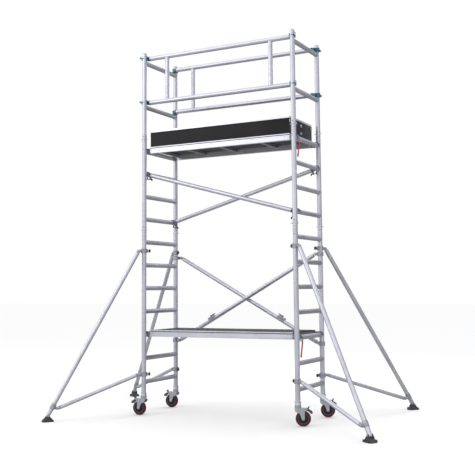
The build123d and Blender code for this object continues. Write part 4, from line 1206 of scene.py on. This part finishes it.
class TOWER_OT_feet(TowerPart):
    """Build the stabilisers' flared rubber feet with cheeks round the strut's end"""

    bl_idname = "tower.feet"
    bl_label = "Stabiliser feet"

    def build(self, sizes, colours):
        for corner in CORNERS:
            at, reach = spoke(corner)
            pivot = joint_place(f"foot_tilt_{corner}").z
            shape = Shape()
            self.pad(shape, at, reach)
            self.cheeks(shape, at, reach, pivot)
            body = f"stabiliser_foot_{corner}"
            shape.piece(f"foot_pad_{corner}", body, "rubber", "foot_rubber", [body])
            points, aims = [], []
            aim = (at.to_3x3() @ Vector((0, 0, 1))).normalized()
            for way in (-1, 1):
                points.append(at @ Vector((reach, pivot, way * 0.0288)))
                aims.append(aim * way)
            repeat(
                TREES["nut"], f"foot_nuts_{corner}", body, "zinc", "zinc_steel", points,
                aims=aims, Width=sizes.nut * 0.85, Height=0.0060, smooth=20,
            )

    def pad(self, shape, at, reach):
        """A ribbed pad that flares towards the floor; a level is its height and share of full size."""
        half_length, half_width = 0.060, 0.045
        levels = [(0.0, 0.96), (0.002, 1.0), (0.010, 1.0), (0.013, 0.95), (0.020, 0.84)]
        levels += [(0.029, 0.70), (0.0350, 0.62), (0.0372, 0.57)]
        rows = []
        for rise, share in levels:
            half_x, half_y = half_length * share, half_width * share
            row = []
            for i in range(48):
                angle = 2 * pi * i / 48
                c, s = cos(angle), sin(angle)
                x = half_x * (abs(c) ** 0.45) * (1 if c >= 0 else -1)
                y = half_y * (abs(s) ** 0.45) * (1 if s >= 0 else -1)
                row.append(at @ Vector((reach + x, rise, y)))
            rows.append(row)
        shape.skin(rows)
        for place in range(-3, 4):
            x = reach + place * 0.0145
            shape.block((x - 0.003, 0.003, -0.0458), (x + 0.003, 0.024, -0.0330), 0.0012, at)
            shape.block((x - 0.003, 0.003, 0.0330), (x + 0.003, 0.024, 0.0458), 0.0012, at)

    def cheeks(self, shape, at, reach, pivot):
        """Two wedge shaped ears that hold the pin."""
        for place in (-0.0290, 0.0228):
            cheek = [(reach - 0.034, 0.031), (reach + 0.034, 0.031)]
            cheek += arc((reach, pivot), 0.0125, 12, 168, 12)
            shape.slab(cheek, at, place, place + 0.0062, 0.0010)


def castor_frame(corner):
    """A castor's upright plane: origin under the king pin, X along the trail, Y upwards."""
    side, end = CORNERS[corner]
    wheel = joint_place(f"wheel_spin_{corner}")
    axis = Vector((side * HALF_X, end * HALF_Y, 0))
    trail = wheel - axis
    trail.z = 0
    reach = trail.length
    trail.normalize()
    at = Matrix((trail, UP, trail.cross(UP))).transposed().to_4x4()
    at.translation = axis
    return at, reach, wheel.z


class TOWER_OT_castors(TowerPart):
    """Build the castors: pressed forks, moulded wheels and ribbed brake pedals"""

    bl_idname = "tower.castors"
    bl_label = "Castors"

    def build(self, sizes, colours):
        for corner in CORNERS:
            at, reach, height = castor_frame(corner)
            self.fork(corner, at, reach, height)
            self.wheel(corner, at, reach, height)
            self.pedal(corner, at)

    def fork(self, corner, at, reach, height):
        """Two pressed legs under a plate with a raised race, and the axle's nuts."""
        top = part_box(f"castor_fork_{corner}")[1].z
        shape, plate = Shape(), Shape()
        for place in (0.025, -0.030):
            leg = [(-0.030, top - 0.012)] + arc((-0.022, top - 0.008), 0.008, 180, 90, 5)
            leg += arc((0.086, top - 0.008), 0.008, 90, 0, 5) + [(0.094, top - 0.0145)]
            leg += [(reach + 0.022, top - 0.0185), (reach + 0.016, top - 0.030)]
            leg += arc((reach, height), 0.0165, 10, -195, 20)
            leg += [(reach - 0.034, top - 0.052), (-0.020, top - 0.038), (-0.030, top - 0.024)]
            shape.slab(leg, at, place, place + 0.005, 0.0012)
        crown = [(-0.030, -0.029), (0.070, -0.029), (0.082, -0.020), (0.082, 0.020)]
        crown += [(0.070, 0.029), (-0.030, 0.029)] + arc((-0.030, 0), 0.029, 90, 270, 9)[1:-1]
        level = at @ Matrix.Rotation(-pi / 2, 4, "X")
        crown = [(max(x, -0.034), y) for x, y in crown]
        plate.slab(crown, level, top - 0.005, top, 0.0012)
        dome = [(0.0285, top - 0.006), (0.0285, top - 0.0045), (0.0270, top - 0.002)]
        dome += [(0.0225, top - 0.0002), (0.0125, top - 0.0002), (0.0125, top - 0.006)]
        plate.turn(dome, level, 32, loop=True)
        # The crown takes the paler clip finish while the legs keep the zinc: a painted highlight on the
        # top-lit plate, which is the same plated steel as the legs.
        plate.piece(
            f"castor_crown_painted_highlight_{corner}", f"castor_fork_{corner}", "clip", "zinc_steel",
            [f"castor_fork_{corner}"], 40,
        )
        boss = at @ Matrix.Translation((reach, height, 0))
        washer = [(0, 0.0235), (0.013, 0.0235), (0.013, 0.0318), (0.011, 0.0325), (0, 0.0325)]
        nut = [(0, 0.031), (0.0098, 0.031), (0.0098, 0.0365), (0.0085, 0.0375), (0, 0.0375)]
        for way in (-1, 1):
            face = boss @ (Matrix() if way > 0 else Matrix.Rotation(pi, 4, "X"))
            shape.turn(washer, face, 28)
            shape.turn(nut, face, 6)
        shape.piece(
            f"castor_fork_pressing_{corner}", f"castor_fork_{corner}", "zinc", "zinc_steel",
            [f"castor_fork_{corner}"], 40,
        )

    def wheel(self, corner, at, reach, height):
        body = f"castor_wheel_{corner}"
        at = at @ Matrix.Translation((reach, height, 0))
        tyre = [(0.0515, -0.0175), (0.0600, -0.0197), (0.0680, -0.0192), (0.0725, -0.0160)]
        tyre += [(0.0744, -0.0105), (0.0750, -0.0040)]
        tyre += [(radius, -rise) for radius, rise in reversed(tyre)]
        shape = Shape()
        shape.turn(tyre, at, 72, loop=True)
        shape.piece(f"castor_tyre_{corner}", body, "tread", "wheel_tread", [body])
        ring = [(0.0470, -0.0165), (0.0480, -0.0185), (0.0510, -0.0190), (0.0520, -0.0170)]
        ring += [(radius, -rise) for radius, rise in reversed(ring)]
        shape = Shape()
        shape.turn(ring, at, 64, loop=True)
        shape.piece(f"castor_rim_{corner}", body, "ring", "wheel_tread", [body])
        shape = Shape()
        web = [(0.0062, -0.0228), (0.0170, -0.0228), (0.0190, -0.0215), (0.0205, -0.0120)]
        web += [(0.0450, -0.0095), (0.0485, -0.0125)]
        web += [(radius, -rise) for radius, rise in reversed(web)]
        shape.turn(web, at, 48, loop=True)
        for way in (-1, 1):
            for i in range(8):
                arm = at @ Matrix.Rotation(2 * pi * i / 8, 4, "Z")
                low, high = sorted((way * 0.0080, way * 0.0165))
                shape.block((0.0185, -0.0022, low), (0.0490, 0.0022, high), 0.0008, arm)
        shape.piece(f"castor_hub_{corner}", body, "hub", "black_plastic", [body])

    def pedal(self, corner, at):
        body = f"castor_pedal_{corner}"
        local = at.inverted() @ joint_place(f"brake_pedal_{corner}")
        x, z = local.x, local.y
        shape = Shape()
        sole = [(x - 0.009, z - 0.0060), (x + 0.014, z - 0.0140), (x + 0.030, z - 0.0260)]
        sole += [(x + 0.044, z - 0.0400), (x + 0.0570, z - 0.0360), (x + 0.0580, z - 0.0230)]
        sole += [(x + 0.044, z - 0.0080), (x + 0.022, z + 0.0030), (x - 0.004, z + 0.0070)]
        shape.slab(sole, at, -0.0225, 0.0225, 0.0015)
        tab = [(x + 0.002, z), (x + 0.018, z + 0.0030), (x + 0.026, z + 0.0200)]
        tab += [(x + 0.029, z + 0.0300), (x + 0.0240, z + 0.0330), (x + 0.019, z + 0.0310)]
        tab += [(x + 0.008, z + 0.0120), (x - 0.003, z + 0.0060)]
        shape.slab(tab, at, -0.0180, 0.0180, 0.0015)
        for i in range(5):
            cx, cz = x + 0.026 + i * 0.0055, z + 0.0006 - i * 0.0034
            shape.block((cx - 0.0012, cz - 0.003, -0.019), (cx + 0.0012, cz + 0.0018, 0.019), 0.0005, at)
        side = at @ Matrix.Translation((x, z, 0))
        shape.turn([(0, -0.0225), (0.0075, -0.0225), (0.0075, 0.0225), (0, 0.0225)], side, 20)
        shape.turn([(0, -0.034), (0.0049, -0.034), (0.0049, 0.034), (0, 0.034)], side, 16)
        shape.piece(f"castor_pedal_plate_{corner}", body, "pedal", "black_plastic", [body], 40)


class TOWER_OT_platforms(TowerPart):
    """Add the platforms' beam lips, rivets, screws and hatch handle"""

    bl_idname = "tower.platforms"
    bl_label = "Platforms"

    def build(self, sizes, colours):
        for name in ("upper", "lower"):
            self.beam_lips(name, sizes)
            self.fixings(name, sizes)
        self.board_screws(sizes)
        self.handle()

    def beam_lips(self, name, sizes):
        shape, groove_shade_strips = Shape(), Shape()
        for low, high in solids(f"{name}_deck_frame"):
            if size((low, high)).x < 1:
                continue
            end = 1 if low.y > 0 else -1
            face = high.y if end > 0 else low.y
            out = face + end * sizes.trim
            back = face - end * 0.0008
            top, bottom = high.z, low.z
            for rise_low, rise_high in ((top - 0.0105, top - 0.0008), (bottom + 0.001, top - 0.0180)):
                shape.block((low.x + 0.001, back, rise_low), (high.x - 0.001, out, rise_high), 0.0009)
            # A black strip at the bottom of the groove between the lips: painted shade in the groove.
            groove = (top - 0.0182, top - 0.0100)
            deep = (back, face + end * 0.0004)
            groove_shade_strips.block((low.x + 0.002, deep[0], groove[0]), (high.x - 0.002, deep[1], groove[1]), 0.0003)
        shape.piece(f"{name}_beam_lips", "tower", "beam", "deck_aluminium")
        groove_shade_strips.piece(f"{name}_beam_groove_painted_shade", "tower", "black", "black_plastic")

    def fixings(self, name, sizes):
        boxes = solids(f"{name}_deck_frame")
        beams = [box for box in boxes if size(box).x > 1]
        bars = [middle(box) for box in boxes if size(box).y > 0.4 and size(box).x < 0.1]
        points, aims = [], []
        for low, high in beams:
            end = 1 if low.y > 0 else -1
            face = (high.y if end > 0 else low.y) + end * sizes.trim
            for side in (-1, 1):
                for shift, rise in ((0.018, -0.030), (0.018, -0.056), (0.052, -0.030), (0.052, -0.056)):
                    points.append(Vector((side * (high.x - shift), face, high.z + rise)))
                    aims.append(Vector((0, end, 0)))
            for bar in bars:
                if abs(bar.x) > high.x - 0.06:
                    continue
                for shift in (-0.010, 0.010):
                    points.append(Vector((bar.x + shift, face, bar.z - 0.004)))
                    aims.append(Vector((0, end, 0)))
        repeat(
            TREES["rivet"], f"{name}_beam_rivets", "tower", "pale_cast", "deck_aluminium", points,
            aims=aims, Diameter=sizes.rivet, Height=0.0018,
        )

    def board_screws(self, sizes):
        boards = [("tower", box) for box in solids("upper_deck_boards")]
        boards += [("tower", box) for box in solids("lower_deck_board")]
        boards += [("hatch", box) for box in solids("hatch") if size(box).y > 0.2]
        spots = {"tower": [], "hatch": []}
        for body, (low, high) in boards:
            along = max(2, round((high.x - low.x) / 0.16) + 1)
            margin = 0.018
            for i in range(along):
                x = low.x + margin + (high.x - low.x - 2 * margin) * i / (along - 1)
                for y in (low.y + margin, high.y - margin):
                    spots[body].append(Vector((x, y, high.z - 0.0002)))
        for body, points in spots.items():
            repeat(
                TREES["screw"], f"{body}_board_screws", body, "zinc", "zinc_steel", points,
                aims=[UP] * len(points), Diameter=sizes.screw, Height=0.0012, smooth=20,
            )

    def handle(self):
        """A plated ring pull let into the free edge of the hatch."""
        low, high = max(
            (box for box in solids("hatch")), key=lambda box: size(box).x * size(box).y
        )
        x, y, z = (low.x + high.x) / 2, low.y + 0.045, high.z
        shape = Shape()
        at = Matrix.Translation((x, y, z))
        plate = [(0.0, -0.002), (0.030, -0.002), (0.030, 0.0012), (0.028, 0.0018)]
        plate += [(0.0235, 0.0018), (0.0225, 0.0004), (0.0, 0.0004)]
        shape.turn(plate, at, 40)
        shape.sweep([(x - 0.0145, y - 0.003, z + 0.002), (x - 0.014, y - 0.014, z + 0.002),
                     (x, y - 0.019, z + 0.002), (x + 0.014, y - 0.014, z + 0.002),
                     (x + 0.0145, y - 0.003, z + 0.002)], 0.0018, 8)
        shape.block((x - 0.018, y - 0.003, z), (x + 0.018, y + 0.003, z + 0.0036), 0.001)
        shape.piece("hatch_ring_pull", "hatch", "zinc", "zinc_steel")


class TOWER_OT_toe_boards(TowerPart):
    """Add the toe boards' hinge barrels, screws and edge beads"""

    bl_idname = "tower.toe_boards"
    bl_label = "Toe boards"

    def build(self, sizes, colours):
        points, aims = [], []
        barrels = Shape()
        for low, high in solids("toe_board_hinges"):
            way = 1 if low.x > 0 else -1
            face = high.x if way > 0 else low.x
            centre = middle((low, high))
            reach = (high.y - low.y) / 2
            for shift in (-0.7, 0.7):
                for rise in (-0.007, 0.007):
                    points.append(Vector((face, centre.y + shift * reach, centre.z + rise)))
                    aims.append(Vector((way, 0, 0)))
            at = basis((face + way * 0.0015, centre.y, low.z), UP)
            tall = high.z - low.z
            profile = [(0, 0), (0.0035, 0), (0.0042, 0.001)]
            for i in range(1, 5):
                step = tall * i / 5
                profile += [(0.0042, step - 0.0005), (0.0036, step), (0.0042, step + 0.0005)]
            profile += [(0.0042, tall - 0.001), (0.0035, tall), (0, tall)]
            barrels.turn(profile, at, 16)
        barrels.piece("toe_hinge_barrels", "toe_board_set", "zinc", "zinc_steel")
        repeat(
            TREES["rivet"], "toe_hinge_rivets", "toe_board_set", "clip", "clip_steel", points,
            aims=aims, Diameter=0.006, Height=0.0012,
        )
        beads = Shape()
        for low, high in solids("toe_board_caps"):
            low, high = low.copy(), high.copy()
            edge = 0.0012
            for axis in (0, 1):
                low[axis] -= edge
                high[axis] += edge
            beads.block(low, (high.x, high.y, low.z + 0.004), 0.001)
        beads.piece("toe_cap_beads", "toe_board_set", "beam", "deck_aluminium")


class TOWER_OT_stage(TowerPart):
    """Make the floor, the soft studio lights and the camera"""

    bl_idname = "tower.stage"
    bl_label = "Stage"

    def build(self, sizes, colours):
        self.floor(colours)
        self.lights()
        self.camera()

    def floor(self, colours):
        reach = 60.0
        data = bpy.data.meshes.new("floor")
        corners = [(-reach, -reach, 0), (reach, -reach, 0), (reach, reach, 0), (-reach, reach, 0)]
        data.from_pydata(corners, [], [(0, 1, 2, 3)])
        item = bpy.data.objects.new("floor", data)
        bpy.context.scene.collection.objects.link(item)
        paint = Finish("floor", specular_ior_level=0.0)
        cloud = paint.noise(0.5, 3)
        base = paint.blend(cloud, shade(colours.floor, 0.99), colours.floor)
        data.materials.append(paint.finish(base, 0.7 + cloud * 0.1))
        # Glossy rays see the floor at 45% of its colour: a painted reflection that darkens the metal's
        # lower sides.
        seen = paint.add("ShaderNodeLightPath")
        glossy = Wire(paint, seen.socket.node.outputs["Is Glossy Ray"])
        painted_dim_reflection = paint.add("ShaderNodeBsdfDiffuse", {"Color": (*shade(colours.floor, 0.45), 1)})
        plain = Wire(paint, paint.shader.outputs[0])
        mixed = paint.add("ShaderNodeMixShader", {0: glossy, 1: plain, 2: painted_dim_reflection})
        out = paint.tree.nodes["Material Output"]
        paint.tree.links.new(mixed.socket, out.inputs["Surface"])

    def lights(self):
        world = bpy.data.worlds.new("studio")
        bpy.context.scene.world = world
        world.use_nodes = True
        sky = Graph(world.node_tree)
        world.node_tree.nodes.clear()
        seen = sky.add("ShaderNodeLightPath")
        glossy = Wire(sky, seen.socket.node.outputs["Is Glossy Ray"])
        room = sky.add("ShaderNodeTexCoord", output=0)
        way = sky.add("ShaderNodeSeparateXYZ", {0: room})
        up = Wire(sky, way.socket.node.outputs[2])
        back = Wire(sky, way.socket.node.outputs[1])
        glow = (up * 0.9 - way * 0.5 - back * 0.6).spread(-0.9, 0.8, 0.10, 1.30)
        plain = sky.add("ShaderNodeBackground", {"Color": (1, 1, 1, 1), "Strength": 1.0})
        mirror = sky.add("ShaderNodeBackground", {"Color": (0.94, 0.95, 1.0, 1), "Strength": glow})
        mixed = sky.add("ShaderNodeMixShader", {0: glossy, 1: plain, 2: mirror})
        sky.add("ShaderNodeOutputWorld", {0: mixed})
        low, high = CAD_BOX
        centre = (low + high) / 2
        for name, offset, wide, power in (
            ("key", (-4.5, -6.0, 5.5), 3.0, 110),
            ("fill", (6.5, -4.5, 3.0), 2.0, 40),
            ("back", (1.0, 6.5, 5.0), 3.0, 90),
        ):
            data = bpy.data.lights.new(name, "AREA")
            data.size = wide
            data.energy = power
            lamp = bpy.data.objects.new(name, data)
            place = Vector((centre.x, centre.y, 0)) + Vector(offset)
            lamp.matrix_world = basis(place, place - centre)
            bpy.context.scene.collection.objects.link(lamp)
        bpy.context.scene.view_settings.view_transform = "Standard"

    def camera(self):
        yaw, pitch, roll = -0.48182, 0.10196, -0.00867
        ahead = Vector((sin(yaw) * cos(pitch), cos(yaw) * cos(pitch), sin(pitch)))
        right = Vector((cos(yaw), -sin(yaw), 0))
        above = right.cross(ahead)
        right, above = (
            right * cos(roll) + above * sin(roll), above * cos(roll) - right * sin(roll),
        )
        data = bpy.data.cameras.new("camera")
        data.sensor_width = 36
        data.lens = 63.85
        data.shift_y = -0.0735
        data.clip_end = 200
        item = bpy.data.objects.new("camera", data)
        turned = Matrix((right, above, -ahead)).transposed().to_4x4()
        turned.translation = (4.26911, -8.00152, 1.33485)
        item.matrix_world = turned
        bpy.context.scene.collection.objects.link(item)
        bpy.context.scene.camera = item


PARTS = (
    TOWER_OT_finishes, TOWER_OT_frames, TOWER_OT_joins, TOWER_OT_guardrails, TOWER_OT_braces,
    TOWER_OT_stabilisers, TOWER_OT_feet, TOWER_OT_castors, TOWER_OT_platforms,
    TOWER_OT_toe_boards, TOWER_OT_stage,
)


class TOWER_PT_panel(bpy.types.Panel):
    """Lists the tower's operators, sizes and colours"""

    bl_idname = "TOWER_PT_panel"
    bl_label = "Access Tower"
    bl_space_type = "VIEW_3D"
    bl_region_type = "UI"
    bl_category = "Tower"

    def draw(self, context):
        for part in PARTS:
            self.layout.operator(part.bl_idname)
        for group in (context.scene.tower_sizes, context.scene.tower_colours):
            for name in group.__annotations__:
                self.layout.prop(group, name)


CLASSES = (TowerSizes, TowerColours, *PARTS, TOWER_PT_panel)


def register():
    for item in CLASSES:
        bpy.utils.register_class(item)
    bpy.types.Scene.tower_sizes = bpy.props.PointerProperty(type=TowerSizes)
    bpy.types.Scene.tower_colours = bpy.props.PointerProperty(type=TowerColours)


def unregister():
    del bpy.types.Scene.tower_colours
    del bpy.types.Scene.tower_sizes
    for item in reversed(CLASSES):
        bpy.utils.unregister_class(item)


def main():
    register()
    for part in PARTS:
        group, name = part.bl_idname.split(".")
        getattr(getattr(bpy.ops, group), name)()


if __name__ == "__main__":
    main()
